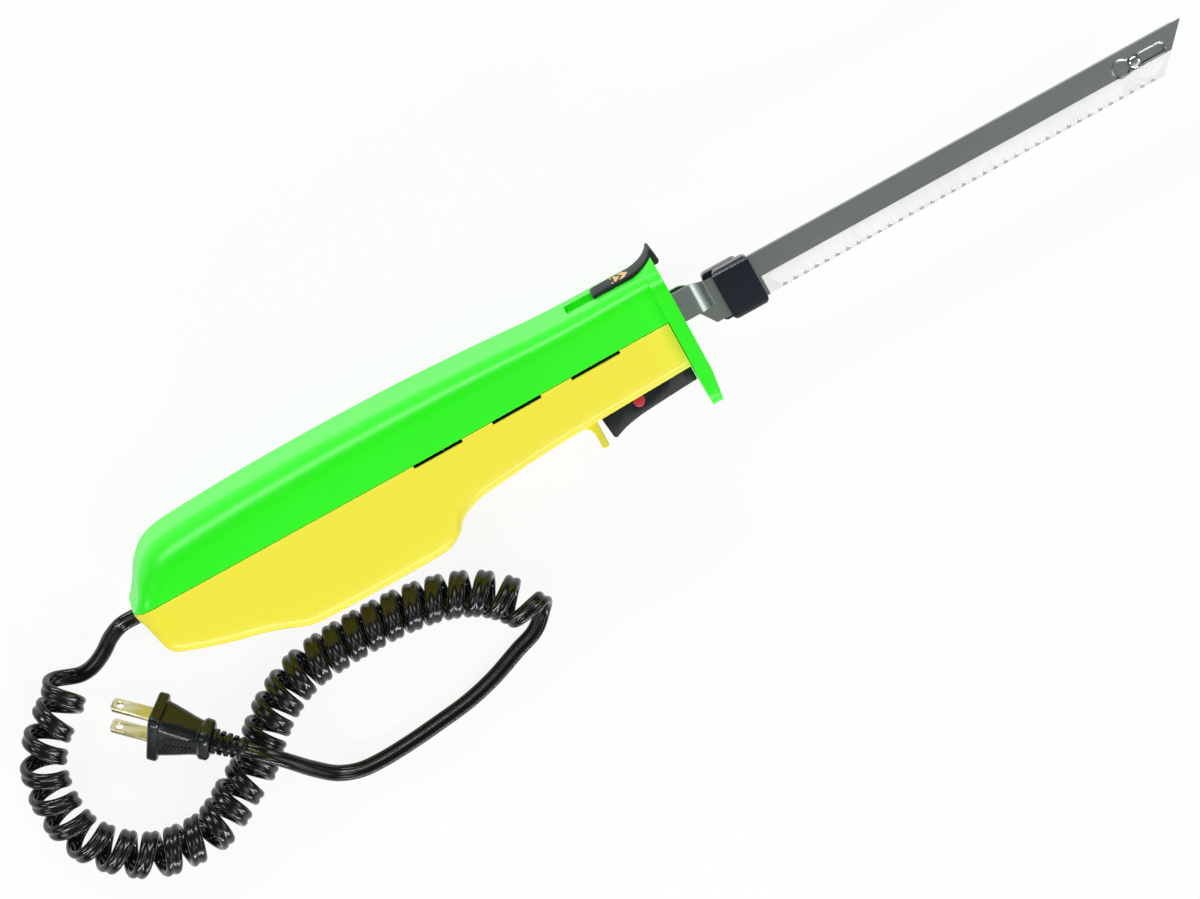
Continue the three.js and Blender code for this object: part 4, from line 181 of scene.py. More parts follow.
@dataclass(frozen=True)
class MouldedPlastic(Finish):
    """ABS or nylon from a mould: a colour that drifts a little, and a fine texture in the gloss."""

    drift: str = "#FFFFFF"
    grain: float = 0.9  # millimetres, coarser than the real half millimetre so that it shows
    bump: float = 0.03

    def detail(self, tree: bpy.types.NodeTree, shader: bpy.types.Node, at: bpy.types.NodeSocket) -> None:
        """Drift the colour over centimetres and roughen the gloss with the mould's texture."""
        broad = add(tree, "ShaderNodeTexNoise", {"Vector": at, "Scale": per_mm(60), "Detail": 2.0})
        fine = add(tree, "ShaderNodeTexNoise", {"Vector": at, "Scale": per_mm(self.grain), "Detail": 3.0})
        blend = add(tree, "ShaderNodeMix", {6: linear(self.color), 7: linear(self.drift)}, data_type="RGBA")
        tree.links.new(broad.outputs["Fac"], blend.inputs["Factor"])
        tree.links.new(blend.outputs[2], shader.inputs["Base Color"])
        gloss = add(tree, "ShaderNodeMapRange", {"Value": fine.outputs["Fac"]})
        gloss.inputs["To Min"].default_value = self.roughness * 0.8
        gloss.inputs["To Max"].default_value = self.roughness * 1.25
        tree.links.new(gloss.outputs["Result"], shader.inputs["Roughness"])
        bump = add(tree, "ShaderNodeBump", {"Height": fine.outputs["Fac"], "Strength": self.bump})
        bump.inputs["Distance"].default_value = 0.2 * MM
        tree.links.new(bump.outputs["Normal"], shader.inputs["Normal"])


@dataclass(frozen=True)
class GroundMetal(Finish):
    """Steel or brass with the fine lines of grinding or drawing, which spread the shine across them."""

    line: float = 0.25  # millimetres between lines, coarser than real so that they show
    stretch: tuple[float, float, float] = (0.02, 1.0, 1.0)
    shade: str = "#808080"
    bump: float = 0.08

    def detail(self, tree: bpy.types.NodeTree, shader: bpy.types.Node, at: bpy.types.NodeSocket) -> None:
        """Draw lines along the least stretched axis, in the colour, the gloss and the relief."""
        drawn = add(tree, "ShaderNodeMapping", {"Vector": at, "Scale": self.stretch})
        scale = per_mm(self.line)
        lines = add(tree, "ShaderNodeTexNoise", {"Vector": drawn.outputs["Vector"], "Scale": scale})
        lines.inputs["Detail"].default_value = 4.0
        stain = add(tree, "ShaderNodeTexNoise", {"Vector": at, "Scale": per_mm(14), "Detail": 3.0})
        worn = {0: lines.outputs["Fac"], 1: stain.outputs["Fac"]}
        mixed = add(tree, "ShaderNodeMath", worn, operation="MULTIPLY")
        blend = add(tree, "ShaderNodeMix", {6: linear(self.color), 7: linear(self.shade)}, data_type="RGBA")
        tree.links.new(mixed.outputs["Value"], blend.inputs["Factor"])
        tree.links.new(blend.outputs[2], shader.inputs["Base Color"])
        gloss = add(tree, "ShaderNodeMapRange", {"Value": lines.outputs["Fac"]})
        gloss.inputs["To Min"].default_value = self.roughness * 0.75
        gloss.inputs["To Max"].default_value = self.roughness * 1.3
        tree.links.new(gloss.outputs["Result"], shader.inputs["Roughness"])
        bump = add(tree, "ShaderNodeBump", {"Height": lines.outputs["Fac"], "Strength": self.bump})
        bump.inputs["Distance"].default_value = 0.05 * MM
        tree.links.new(bump.outputs["Normal"], shader.inputs["Normal"])


@dataclass(frozen=True)
class ExtrudedPvc(Finish):
    """Soft PVC drawn through a die: black and glossy, with faint dull patches where it was handled."""

    dull: float = 0.45

    def detail(self, tree: bpy.types.NodeTree, shader: bpy.types.Node, at: bpy.types.NodeSocket) -> None:
        """Dull the gloss in patches and ripple the surface a little."""
        patch = add(tree, "ShaderNodeTexNoise", {"Vector": at, "Scale": per_mm(9), "Detail": 3.0})
        spread = {"Value": patch.outputs["Fac"], "From Min": 0.35, "From Max": 0.75}
        gloss = add(tree, "ShaderNodeMapRange", spread)
        gloss.inputs["To Min"].default_value = self.roughness
        gloss.inputs["To Max"].default_value = self.dull
        tree.links.new(gloss.outputs["Result"], shader.inputs["Roughness"])
        ripple = add(tree, "ShaderNodeTexNoise", {"Vector": at, "Scale": per_mm(2.5), "Detail": 2.0})
        bump = add(tree, "ShaderNodeBump", {"Height": ripple.outputs["Fac"], "Strength": 0.02})
        bump.inputs["Distance"].default_value = 0.15 * MM
        tree.links.new(bump.outputs["Normal"], shader.inputs["Normal"])


@dataclass(frozen=True)
class WoundWire(Finish):
    """Enamelled copper wire laid in turns: rounded ridges with dark lines of painted shade between them."""

    wire: float = 0.8
    across: str = "X"

    def detail(self, tree: bpy.types.NodeTree, shader: bpy.types.Node, at: bpy.types.NodeSocket) -> None:
        """Draw the turns as a wave across the winding, with dark brown in the grooves as painted shade."""
        wave = {"Vector": at, "Scale": per_mm(self.wire) / 20, "Distortion": 0.6}
        turns = add(tree, "ShaderNodeTexWave", wave)
        turns.bands_direction = self.across
        # the dark brown between the turns is painted shade in the grooves
        blend = add(tree, "ShaderNodeMix", {6: linear("#4A2412"), 7: linear(self.color)}, data_type="RGBA")
        tree.links.new(turns.outputs["Fac"], blend.inputs["Factor"])
        tree.links.new(blend.outputs[2], shader.inputs["Base Color"])
        bump = add(tree, "ShaderNodeBump", {"Height": turns.outputs["Fac"], "Strength": 0.6})
        bump.inputs["Distance"].default_value = 0.3 * MM
        tree.links.new(bump.outputs["Normal"], shader.inputs["Normal"])


# Bright glossy ABS: saturated, with broad soft highlights.
GREEN_ABS = MouldedPlastic("abs_green_moulded", "#22F40E", 0.36, "green_abs", ior=1.53, drift="#2AF814")
YELLOW_ABS = MouldedPlastic("abs_yellow_moulded", "#F2E634", 0.34, "yellow_abs", ior=1.53, drift="#F4EC44")
# Black ABS and nylon: a satin face that still takes a clear edge light.
BLACK_ABS = MouldedPlastic("abs_black_moulded", "#0A1118", 0.22, "black_abs", ior=1.53, drift="#0E161E")
GRAINED_ABS = MouldedPlastic(
    "abs_black_grained", "#0D1417", 0.6, "black_abs", ior=1.53, drift="#12191D", bump=0.08
)
BLACK_NYLON = MouldedPlastic("nylon_black_moulded", "#0E1820", 0.2, "black_nylon", ior=1.53, drift="#131F29")
RED_ABS = MouldedPlastic("abs_red_moulded", "#C52C45", 0.3, "red_abs", ior=1.53, drift="#BE2A42")
ACETAL = MouldedPlastic("acetal_white_turned", "#E6E0D0", 0.45, "white_acetal", ior=1.48, drift="#DDD6C4")
CARBON = MouldedPlastic("carbon_pressed", "#252528", 0.7, "carbon", drift="#1D1D20")
# Blade steel in two copies of one metal: grey along the brushed flats as painted shade, bright on the finely
# cross-ground bevel as a painted highlight.
BLADE_FLAT_PAINTED_SHADE = GroundMetal("steel_blade_brushed", "#A3ACA7", 0.3, "blade_steel", metallic=1.0, shade="#8A938E")
BLADE_BEVEL_PAINTED_HIGHLIGHT = GroundMetal(
    "steel_bevel_ground",
    "#F4F4F2",
    0.34,
    "blade_steel",
    metallic=1.0,
    shade="#DEDEDC",
    stretch=(1.0, 0.05, 0.05),
)
GROUND_STEEL = GroundMetal("steel_ground", "#CFD2D3", 0.24, "ground_steel", metallic=1.0, shade="#A9ADAF")
SPRING_STEEL = GroundMetal(
    "steel_spring_drawn", "#B4B8BA", 0.3, "spring_steel", metallic=1.0, shade="#8C9092"
)
ZINC_STEEL = GroundMetal("steel_zinc_plated", "#C5C8C6", 0.33, "zinc_steel", metallic=1.0, shade="#9DA19F")
PRESSED_STEEL = GroundMetal("steel_pressed", "#999EA0", 0.4, "pressed_steel", metallic=1.0, shade="#7A7F81")
LAMINATION = GroundMetal(
    "iron_sheets_varnished",
    "#4B4A4C",
    0.5,
    "lamination",
    metallic=0.7,
    shade="#2B2A2C",
    stretch=(1.0, 0.02, 0.02),
)
BRONZE = GroundMetal("bronze_sintered", "#9C8452", 0.5, "sintered_bronze", metallic=1.0, shade="#7C683E")
SHEET_BRASS = GroundMetal("brass_pressed", "#B99E57", 0.35, "sheet_brass", metallic=1.0, shade="#947C41")
PLUG_BRASS = GroundMetal("brass_pin_stamped", "#E2DCB8", 0.33, "plug_brass", metallic=1.0, shade="#C9C296")
COMMUTATOR_COPPER = GroundMetal(
    "copper_turned", "#C07848", 0.3, "commutator_copper", metallic=1.0, shade="#8E5530"
)
GOLD_PRINT = GroundMetal("gold_foil_stamped", "#FFCB5C", 0.25, "black_abs", metallic=1.0, shade="#E8B040")
WINDING = WoundWire("copper_enamelled_wound", "#B5673A", 0.35, "copper", metallic=0.6)
CORD_PVC = ExtrudedPvc("pvc_cord_extruded", "#070B0D", 0.2, "cord_pvc", ior=1.53, dull=0.27)
PLUG_PVC = ExtrudedPvc("pvc_plug_moulded", "#0B1114", 0.25, "plug_pvc", ior=1.53, dull=0.33)
WIRE_PVC = ExtrudedPvc("pvc_wire_extruded", "#16181A", 0.35, "wire_pvc", ior=1.53)

INNER_FINISHES: dict[str, Finish] = {
    "screw_rear_near": ZINC_STEEL,
    "screw_rear_far": ZINC_STEEL,
    "screw_front_near": ZINC_STEEL,
    "screw_front_far": ZINC_STEEL,
    "field_stack": LAMINATION,
    "field_coil_top": WINDING,
    "field_coil_bottom": WINDING,
    "armature_shaft": GROUND_STEEL,
    "armature_core": LAMINATION,
    "armature_winding": WINDING,
    "commutator": COMMUTATOR_COPPER,
    "cooling_fan": BLACK_NYLON,
    "rear_bracket": PRESSED_STEEL,
    "rear_bearing": BRONZE,
    "middle_bearing": BRONZE,
    "end_bush": BRONZE,
    "near_brush_holder": SHEET_BRASS,
    "far_brush_holder": SHEET_BRASS,
    "near_brush": CARBON,
    "far_brush": CARBON,
    "near_brush_spring": SPRING_STEEL,
    "far_brush_spring": SPRING_STEEL,
    "drive_gear": ACETAL,
    "gear_axle": GROUND_STEEL,
    "drive_frame": PRESSED_STEEL,
    "near_drive_arm": ACETAL,
    "far_drive_arm": ACETAL,
    "trigger_pin": GROUND_STEEL,
    "trigger_spring": SPRING_STEEL,
    "switch_body": BLACK_NYLON,
    "switch_plunger": ACETAL,
    "release_latch": PRESSED_STEEL,
    "release_spring": SPRING_STEEL,
    "cord_grommet": CORD_PVC,
    "supply_wire": WIRE_PVC,
    "return_wire": WIRE_PVC,
    "motor_wire": WIRE_PVC,
}


# Mesh tools


def mesh_piece(name: str, points: Sequence[Point], faces: Sequence[Sequence[int]]) -> bpy.types.Object:
    """Make an object from points in the knife's axes, with its doubles merged and its faces outward.

    Args:
        name: The object's name.
        points: The points, in millimetres.
        faces: Numbers of each face's points.

    Returns:
        The object, linked to the scene.
    """
    mesh = bpy.data.meshes.new(name)
    mesh.from_pydata([place(p) for p in points], [], faces)
    form = bmesh.new()
    form.from_mesh(mesh)
    bmesh.ops.remove_doubles(form, verts=form.verts, dist=0.002 * MM)
    bmesh.ops.dissolve_degenerate(form, edges=form.edges, dist=0.001 * MM)
    bmesh.ops.recalc_face_normals(form, faces=form.faces)
    form.to_mesh(mesh)
    form.free()
    made = bpy.data.objects.new(name, mesh)
    bpy.context.scene.collection.objects.link(made)
    return made


def bake(piece: bpy.types.Object) -> bpy.types.Object:
    """Turn an object's modifiers into its plain mesh.

    Args:
        piece: The object.

    Returns:
        The same object, with no modifiers.
    """
    bpy.context.view_layer.update()
    shown = piece.evaluated_get(bpy.context.evaluated_depsgraph_get())
    mesh = bpy.data.meshes.new_from_object(shown)
    piece.modifiers.clear()
    piece.data = mesh
    return piece


def soften(piece: bpy.types.Object, width: float, segments: int = 3, angle: float = 30.0) -> bpy.types.Object:
    """Round a piece's sharp edges.

    Args:
        piece: The object.
        width: Width of the rounding, in millimetres.
        segments: Faces across it.
        angle: Edges sharper than this many degrees are rounded.

    Returns:
        The same object.
    """
    bevel = piece.modifiers.new("rounding", "BEVEL")
    bevel.width = width * MM
    bevel.segments = segments
    bevel.limit_method = "ANGLE"
    bevel.angle_limit = math.radians(angle)
    bevel.harden_normals = False
    return bake(piece)


def carve(piece: bpy.types.Object, operation: str, tools: Sequence[bpy.types.Object]) -> bpy.types.Object:
    """Apply tools to a bare piece and delete them.

    Args:
        piece: The object that is changed.
        operation: "DIFFERENCE" or "UNION".
        tools: Closed objects.

    Returns:
        The same object.
    """
    for tool in tools:
        step = piece.modifiers.new("carve", "BOOLEAN")
        step.operation = operation
        step.solver = "MANIFOLD"
        step.object = tool
    bake(piece)
    piece.data.materials.clear()
    for tool in tools:
        bpy.data.objects.remove(tool)
    return piece


def cut(piece: bpy.types.Object, *tools: bpy.types.Object) -> bpy.types.Object:
    """Take closed tools out of a piece."""
    return carve(piece, "DIFFERENCE", tools)


def merge(name: str, pieces: Sequence[bpy.types.Object]) -> bpy.types.Object:
    """Put several objects into one, keeping their materials.

    Args:
        name: Name of the one object.
        pieces: The objects, which are used up.

    Returns:
        The object.
    """
    form = bmesh.new()
    materials: list[bpy.types.Material] = []
    for piece in pieces:
        start = len(form.faces)
        form.from_mesh(piece.data)
        form.faces.ensure_lookup_table()
        for face in form.faces[start:]:
            own = piece.data.materials[face.material_index] if piece.data.materials else None
            if own is not None and own not in materials:
                materials.append(own)
            face.material_index = materials.index(own) if own is not None else 0
    mesh = bpy.data.meshes.new(name)
    form.to_mesh(mesh)
    form.free()
    for material in materials:
        mesh.materials.append(material)
    for piece in pieces:
        bpy.data.objects.remove(piece)
    made = bpy.data.objects.new(name, mesh)
    bpy.context.scene.collection.objects.link(made)
    return made


def coat(piece: bpy.types.Object, finish: Finish) -> bpy.types.Object:
    """Give every face of a piece one finish."""
    piece.data.materials.clear()
    piece.data.materials.append(finish.material())
    return piece


def seat(
    piece: bpy.types.Object, body: Body, finish: Finish, nodes: Sequence[str] = (), smooth: float = 35.0
) -> bpy.types.Object:
    """Finish a piece: shade it, let it ride on its body and hide the solids that it stands for.

    Args:
        piece: The finished object.
        body: The body that it moves with.
        finish: Its main finish, which it is coated with if it has no material yet.
        nodes: The solids that it stands for.
        smooth: Edges sharper than this many degrees stay sharp.

    Returns:
        The same object.
    """
    if not piece.data.materials:
        coat(piece, finish)
    piece.data.shade_smooth()
    piece.data.set_sharp_from_angle(angle=math.radians(smooth))
    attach(piece, body.value)
    if nodes:
        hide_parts(*nodes)
    LOG.info("%s: %d faces", piece.name, len(piece.data.polygons))
    return piece


def loft(name: str, rings: Sequence[Sequence[Point]]) -> bpy.types.Object:
    """Make a closed skin over rings of as many points each.

    Args:
        name: The object's name.
        rings: The rings in order, each closed.

    Returns:
        The object.
    """
    count = len(rings[0])
    points = [p for ring in rings for p in ring]
    faces: list[list[int]] = [list(range(count)), [(len(rings) - 1) * count + k for k in range(count)]]
    for i in range(len(rings) - 1):
        for k in range(count):
            a, b = i * count + k, i * count + (k + 1) % count
            faces.append([a, b, b + count, a + count])
    return mesh_piece(name, points, faces)


def plate(
    name: str, outline: Outline, low: Union[float, Callable], high: Union[float, Callable]
) -> bpy.types.Object:
    """Make a flat piece from an outline in x and y.

    Args:
        name: The object's name.
        outline: The outline's points.
        low: z of its lower face, or a function that gives it for y.
        high: z of its upper face, or a function that gives it for y.

    Returns:
        The object.
    """
    level = [f if callable(f) else (lambda _, z=f: z) for f in (low, high)]
    rings = [[(x, y, z(y)) for x, y in outline] for z in level]
    return loft(name, rings)


def bar(name: str, outline: Outline, x0: float, x1: float) -> bpy.types.Object:
    """Push an outline in y and z along x.

    Args:
        name: The object's name.
        outline: The outline's points, y first.
        x0: Where it starts.
        x1: Where it ends.

    Returns:
        The object.
    """
    return loft(name, [[(x, y, z) for y, z in outline] for x in (x0, x1)])


def block(name: str, low: Point, high: Point) -> bpy.types.Object:
    """Make a block between two corners, for cutting."""
    outline = [(low[0], low[1]), (high[0], low[1]), (high[0], high[1]), (low[0], high[1])]
    return plate(name, outline, low[2], high[2])


def disc(
    name: str, middle: Point, axis: str, radius: float, length: float, sides: int = 40
) -> bpy.types.Object:
    """Make a round bar along an axis.

    Args:
        name: The object's name.
        middle: Its middle.
        axis: "x", "y" or "z".
        radius: Its radius.
        length: Its length.
        sides: Faces round it.

    Returns:
        The object.
    """
    turns = [2 * math.pi * k / sides for k in range(sides)]
    main = "xyz".index(axis)
    rings = []
    for end in (-length / 2, length / 2):
        ring = []
        for turn in turns:
            point = [0.0, 0.0, 0.0]
            point[main] = middle[main] + end
            point[(main + 1) % 3] = middle[(main + 1) % 3] + radius * math.cos(turn)
            point[(main + 2) % 3] = middle[(main + 2) % 3] + radius * math.sin(turn)
            ring.append(point)
        rings.append(ring)
    return loft(name, rings)


def arc(x: float, y: float, r: float, start: float, end: float, steps: int = 8) -> list[tuple[float, float]]:
    """Points of an arc about a middle, from one angle in degrees to another."""
    turns = np.radians(np.linspace(start, end, steps + 1))
    return [(x + r * math.cos(a), y + r * math.sin(a)) for a in turns]


def rounded(
    x0: float, x1: float, y0: float, y1: float, r: float, steps: int = 6
) -> list[tuple[float, float]]:
    """The outline of a rectangle with round corners.

    Args:
        x0: Left side.
        x1: Right side.
        y0: Lower side.
        y1: Upper side.
        r: Radius of the corners.
        steps: Segments of each corner.

    Returns:
        The outline's points.
    """
    corners = [(x1 - r, y0 + r, -90), (x1 - r, y1 - r, 0), (x0 + r, y1 - r, 90), (x0 + r, y0 + r, 180)]
    return [point for x, y, start in corners for point in arc(x, y, r, start, start + 90, steps)]


def lean(start: Point, towards: Point, end: Point, steps: int = 8) -> list[tuple[float, float]]:
    """Points of a curve after its start that leans towards a point on its way to the end."""
    a, b, c = [np.asarray(p, float) for p in (start, towards, end)]
    shares = np.linspace(0, 1, steps + 1)[1:]
    return [tuple((1 - t) ** 2 * a + 2 * t * (1 - t) * b + t**2 * c) for t in shares]


def curve_through(points: Sequence[Point], per_span: int = 40) -> np.ndarray:
    """Sample a smooth curve through points, a centripetal Catmull-Rom spline.

    Args:
        points: The points.
        per_span: Samples between two of them.

    Returns:
        The samples, one row each.
    """
    p = np.asarray(points, float)
    ends = np.vstack([2 * p[0] - p[1], p, 2 * p[-1] - p[-2]])
    t = np.linspace(0, 1, per_span, endpoint=False)[:, None]
    rows = []
    for a, b, c, d in zip(ends, ends[1:], ends[2:], ends[3:]):
        da, db, dc = [max(np.linalg.norm(q - r) ** 0.5, 1e-4) for q, r in ((b, a), (c, b), (d, c))]
        out = ((b - a) / da - (c - a) / (da + db) + (c - b) / db) * db
        into = ((c - b) / db - (d - b) / (db + dc) + (d - c) / dc) * db
        first, leave = 2 * t**3 - 3 * t**2 + 1, t**3 - 2 * t**2 + t
        last, arrive = 3 * t**2 - 2 * t**3, t**3 - t**2
        rows.append(first * b + leave * out + last * c + arrive * into)
    rows.append(p[-1:])
    return np.vstack(rows)


def between(wanted: np.ndarray, places: np.ndarray, rows: np.ndarray) -> np.ndarray:
    """Rows at the wanted places, by straight lines between the given ones."""
    return np.stack([np.interp(wanted, places, column) for column in rows.T], axis=1)


def evenly(line: np.ndarray, count: int) -> np.ndarray:
    """Sample a line again at even distances along it.

    Args:
        line: Points along the line.
        count: How many spans the result has.

    Returns:
        The new points, one more than the spans.
    """
    run = np.concatenate([[0], np.cumsum(np.linalg.norm(np.diff(line, axis=0), axis=1))])
    return between(np.linspace(0, run[-1], count + 1), run, line)


def line_length(line: np.ndarray) -> float:
    """Length of a line of points."""
    return float(np.linalg.norm(np.diff(line, axis=0), axis=1).sum())


def unit(vector: np.ndarray) -> np.ndarray:
    """A vector of length one in the same direction."""
    return vector / np.linalg.norm(vector)


# Repeats by geometry nodes


@dataclass
class Repeat:
    """A row of copies of one form along a straight line, made by geometry nodes."""

    name: str
    count: int
    start: Vector
    step: Vector
    finish: Finish

    def tree(self) -> bpy.types.NodeTree:
        """Build the node tree: a line of points, a copy on each, realised and coated."""
        tree = bpy.data.node_groups.new(self.name + "_row", "GeometryNodeTree")
        face = tree.interface
        face.new_socket("Geometry", in_out="OUTPUT", socket_type="NodeSocketGeometry")
        for name, kind in (
            ("Form", "NodeSocketObject"),
            ("Count", "NodeSocketInt"),
            ("Start", "NodeSocketVector"),
            ("Step", "NodeSocketVector"),
            ("Finish", "NodeSocketMaterial"),
        ):
            face.new_socket(name, in_out="INPUT", socket_type=kind)
        given = add(tree, "NodeGroupInput").outputs
        row = add(
            tree,
            "GeometryNodeMeshLine",
            {"Count": given["Count"], "Start Location": given["Start"], "Offset": given["Step"]},
            mode="OFFSET",
        )
        form = add(tree, "GeometryNodeObjectInfo", {"Object": given["Form"]})
        copies = add(
            tree,
            "GeometryNodeInstanceOnPoints",
            {"Points": row.outputs["Mesh"], "Instance": form.outputs["Geometry"]},
        )
        real = add(tree, "GeometryNodeRealizeInstances", {"Geometry": copies.outputs["Instances"]})
        coated = add(
            tree,
            "GeometryNodeSetMaterial",
            {"Geometry": real.outputs["Geometry"], "Material": given["Finish"]},
        )
        add(tree, "NodeGroupOutput", {"Geometry": coated.outputs["Geometry"]})
        return tree

    def build(self, form: bpy.types.Object) -> bpy.types.Object:
        """Make the row and delete the form.

        Args:
            form: What is repeated, drawn about the frame's origin.

        Returns:
            One plain mesh of all the copies.
        """
        made = bpy.data.objects.new(self.name, bpy.data.meshes.new(self.name))
        bpy.context.scene.collection.objects.link(made)
        nodes = made.modifiers.new("row", "NODES")
        nodes.node_group = self.tree()
        values = {
            "Form": form,
            "Count": self.count,
            "Start": tuple(self.start),
            "Step": tuple(self.step),
            "Finish": self.finish.material(),
        }
        for item in nodes.node_group.interface.items_tree:
            if item.in_out == "INPUT":
                nodes[item.identifier] = values[item.name]
        bake(made)
        bpy.data.objects.remove(form)
        return made


# Plug


@dataclass
class Plug:
    """A moulded two-pin plug, drawn with its own x along the cord and its pins side by side in its y."""

    face: tuple[float, float, float] = (-16.2, -48.6, 13.3)
    tail: tuple[float, float, float] = (11.5, -72.9, 24.2)
    roll: float = 40.0
    length: float = 24.5
    flange: float = 4.2
    pin_spacing: float = 12.7
    pin_width: float = 6.35
    pin_thick: float = 1.5
    pin_length: float = 17.2
    pin_hole: float = 1.6
    hole_setback: float = 3.4
    sleeve_start: float = 5.2
    sleeve_end: float = 4.4

    def matrix(self) -> Matrix:
        """From the plug's own axes, in millimetres, to the knife's."""
        face = Vector((self.face[0], self.face[1], self.face[2] + TABLE_Z))
        tail = Vector((self.tail[0], self.tail[1], self.tail[2] + TABLE_Z))
        axis = (tail - face).normalized()
        level = Vector((0, 0, 1)).cross(axis).normalized()
        turn = Matrix((axis, level, axis.cross(level))).transposed()
        return Matrix.Translation(face) @ turn.to_4x4() @ Matrix.Rotation(math.radians(self.roll), 4, "X")

    def to_knife(self, piece: bpy.types.Object) -> bpy.types.Object:
        """Move a piece that was drawn in the plug's axes to its place."""
        scale = Matrix.Scale(MM, 4)
        own = scale @ Matrix.Translation(-ORIGIN)
        piece.data.transform(own @ self.matrix() @ own.inverted())
        return piece

    def ring(self, x: float, width: float, depth: float, corner: float) -> list[tuple[float, float, float]]:
        """One rounded rectangle across the plug."""
        outline = rounded(-width / 2, width / 2, -depth / 2, depth / 2, corner)
        return [(x, y, z) for y, z in outline]

    def body(self) -> bpy.types.Object:
        """The moulded body: a flange at the face, a waisted grip and a collar."""
        stations = [
            (0.0, 24.0, 17.0, 2.6),
            (0.5, 25.0, 18.0, 3.0),
            (3.5, 25.0, 18.0, 3.0),
            (4.2, 24.0, 17.0, 2.8),
            (4.4, 20.0, 15.8, 3.4),
            (8.0, 19.0, 15.0, 4.0),
            (12.0, 17.2, 13.8, 4.2),
            (16.0, 15.0, 12.4, 4.2),
            (19.3, 13.5, 11.5, 4.0),
            (20.2, 14.6, 12.4, 4.0),
            (20.7, 15.8, 13.3, 4.2),
            (23.4, 15.6, 13.1, 4.2),
            (24.2, 14.2, 11.9, 4.0),
            (24.5, 12.4, 10.4, 3.8),
        ]
        return self.to_knife(loft("plug_body_moulded", [self.ring(*s) for s in stations]))

    def grip_ribs(self) -> bpy.types.Object:
        """Rows of short slanted ribs in the two broad faces of the grip."""
        rows = []
        for side in (1, -1):
            for row in (-2.1, 2.1):
                ring = rounded(-0.45, 0.45, -0.45, 0.45, 0.35, 3)
                ends = [(row - 1.5, -0.6), (row + 1.5, 0.6)]
                form = loft("rib", [[(x + slant, y, side * 7.5 + z) for x, z in ring] for y, slant in ends])
                form.data.transform(Matrix.Translation(ORIGIN * MM))
                name = f"plug_ribs_{side}_{row:.0f}"
                start = Vector((7.2, 0, 0)) * MM - ORIGIN * MM
                step = Vector((1.5, 0, -0.22 * side)) * MM
                rows.append(self.to_knife(Repeat(name, 7, start, step, PLUG_PVC).build(form)))
        return merge("plug_grip_ribs", rows)

    def bow(self, x: float, radius: float, turns: np.ndarray) -> list[tuple[float, float, float]]:
        """Points about the plug's axis at the given angles."""
        return [(x, radius * math.cos(a), radius * math.sin(a)) for a in turns]

    def relief(self) -> bpy.types.Object:
        """The sleeve behind the plug: a tapered core with rings of pads, each turned against the last."""
        end = (Vector(self.tail) - Vector(self.face)).length
        start = self.length + 0.2
        stations = (
            (start - 1, self.sleeve_start),
            (end - 0.4, self.sleeve_end),
            (end, self.sleeve_end - 0.3),
        )
        circle = np.radians(np.arange(0, 360, 15))
        parts = [loft("core", [self.bow(x, r - 1.1, circle) for x, r in stations])]
        rings = 5
        pitch = (end - start - 0.3) / rings
        wide = pitch * 0.62
        for k in range(rings):
            outer = self.sleeve_start + (self.sleeve_end - self.sleeve_start) * k / (rings - 1)
            for quarter in range(4):
                middle = 90 * quarter + 45 * (k % 2)
                turns = np.radians(np.linspace(middle - 33, middle + 33, 7))
                pad = []
                for x, lift in ((0.0, 0.35), (0.25, 0.0), (wide - 0.25, 0.0), (wide, 0.35)):
                    at = start + k * pitch + x
                    pad.append(self.bow(at, outer - lift, turns) + self.bow(at, outer - 1.5, turns[::-1]))
                parts.append(loft("pad", pad))
        return self.to_knife(merge("plug_relief_ribbed", parts))

    def pin(self, name: str, side: int) -> bpy.types.Object:
        """One stamped flat pin with a round hole and a chamfered end."""
        y = side * self.pin_spacing / 2
        tip, wide, half = -self.pin_length, self.pin_width / 2, self.pin_thick / 2
        outline = [
            (self.flange - 0.4, -wide),
            (self.flange - 0.4, wide),
            (tip + 0.9, wide),
            (tip, wide - 1.1),
            (tip, 1.1 - wide),
            (tip + 0.9, -wide),
        ]
        pin = loft(name, [[(x, y + d, z) for x, z in outline] for d in (-half, half)])
        cut(pin, disc("hole", (tip + self.hole_setback, y, 0), "y", self.pin_hole, 6))
        return self.to_knife(soften(pin, 0.16, 2))

    def build(self) -> list[bpy.types.Object]:
        """Make the plug's pieces and seat them.

        Returns:
            The pieces on the cord.
        """
        body = coat(soften(self.body(), 0.25, 2, 50), PLUG_PVC)
        return [
            seat(body, Body.HANDLE, PLUG_PVC, ("plug_body",), smooth=40),
            seat(self.grip_ribs(), Body.HANDLE, PLUG_PVC, smooth=60),
            seat(self.relief(), Body.HANDLE, PLUG_PVC, ("plug_relief",)),
            seat(self.pin("plug_pin_upper", 1), Body.HANDLE, PLUG_BRASS, ("plug_prong_upper",)),
            seat(self.pin("plug_pin_lower", -1), Body.HANDLE, PLUG_BRASS, ("plug_prong_lower",)),
        ]


# Cord


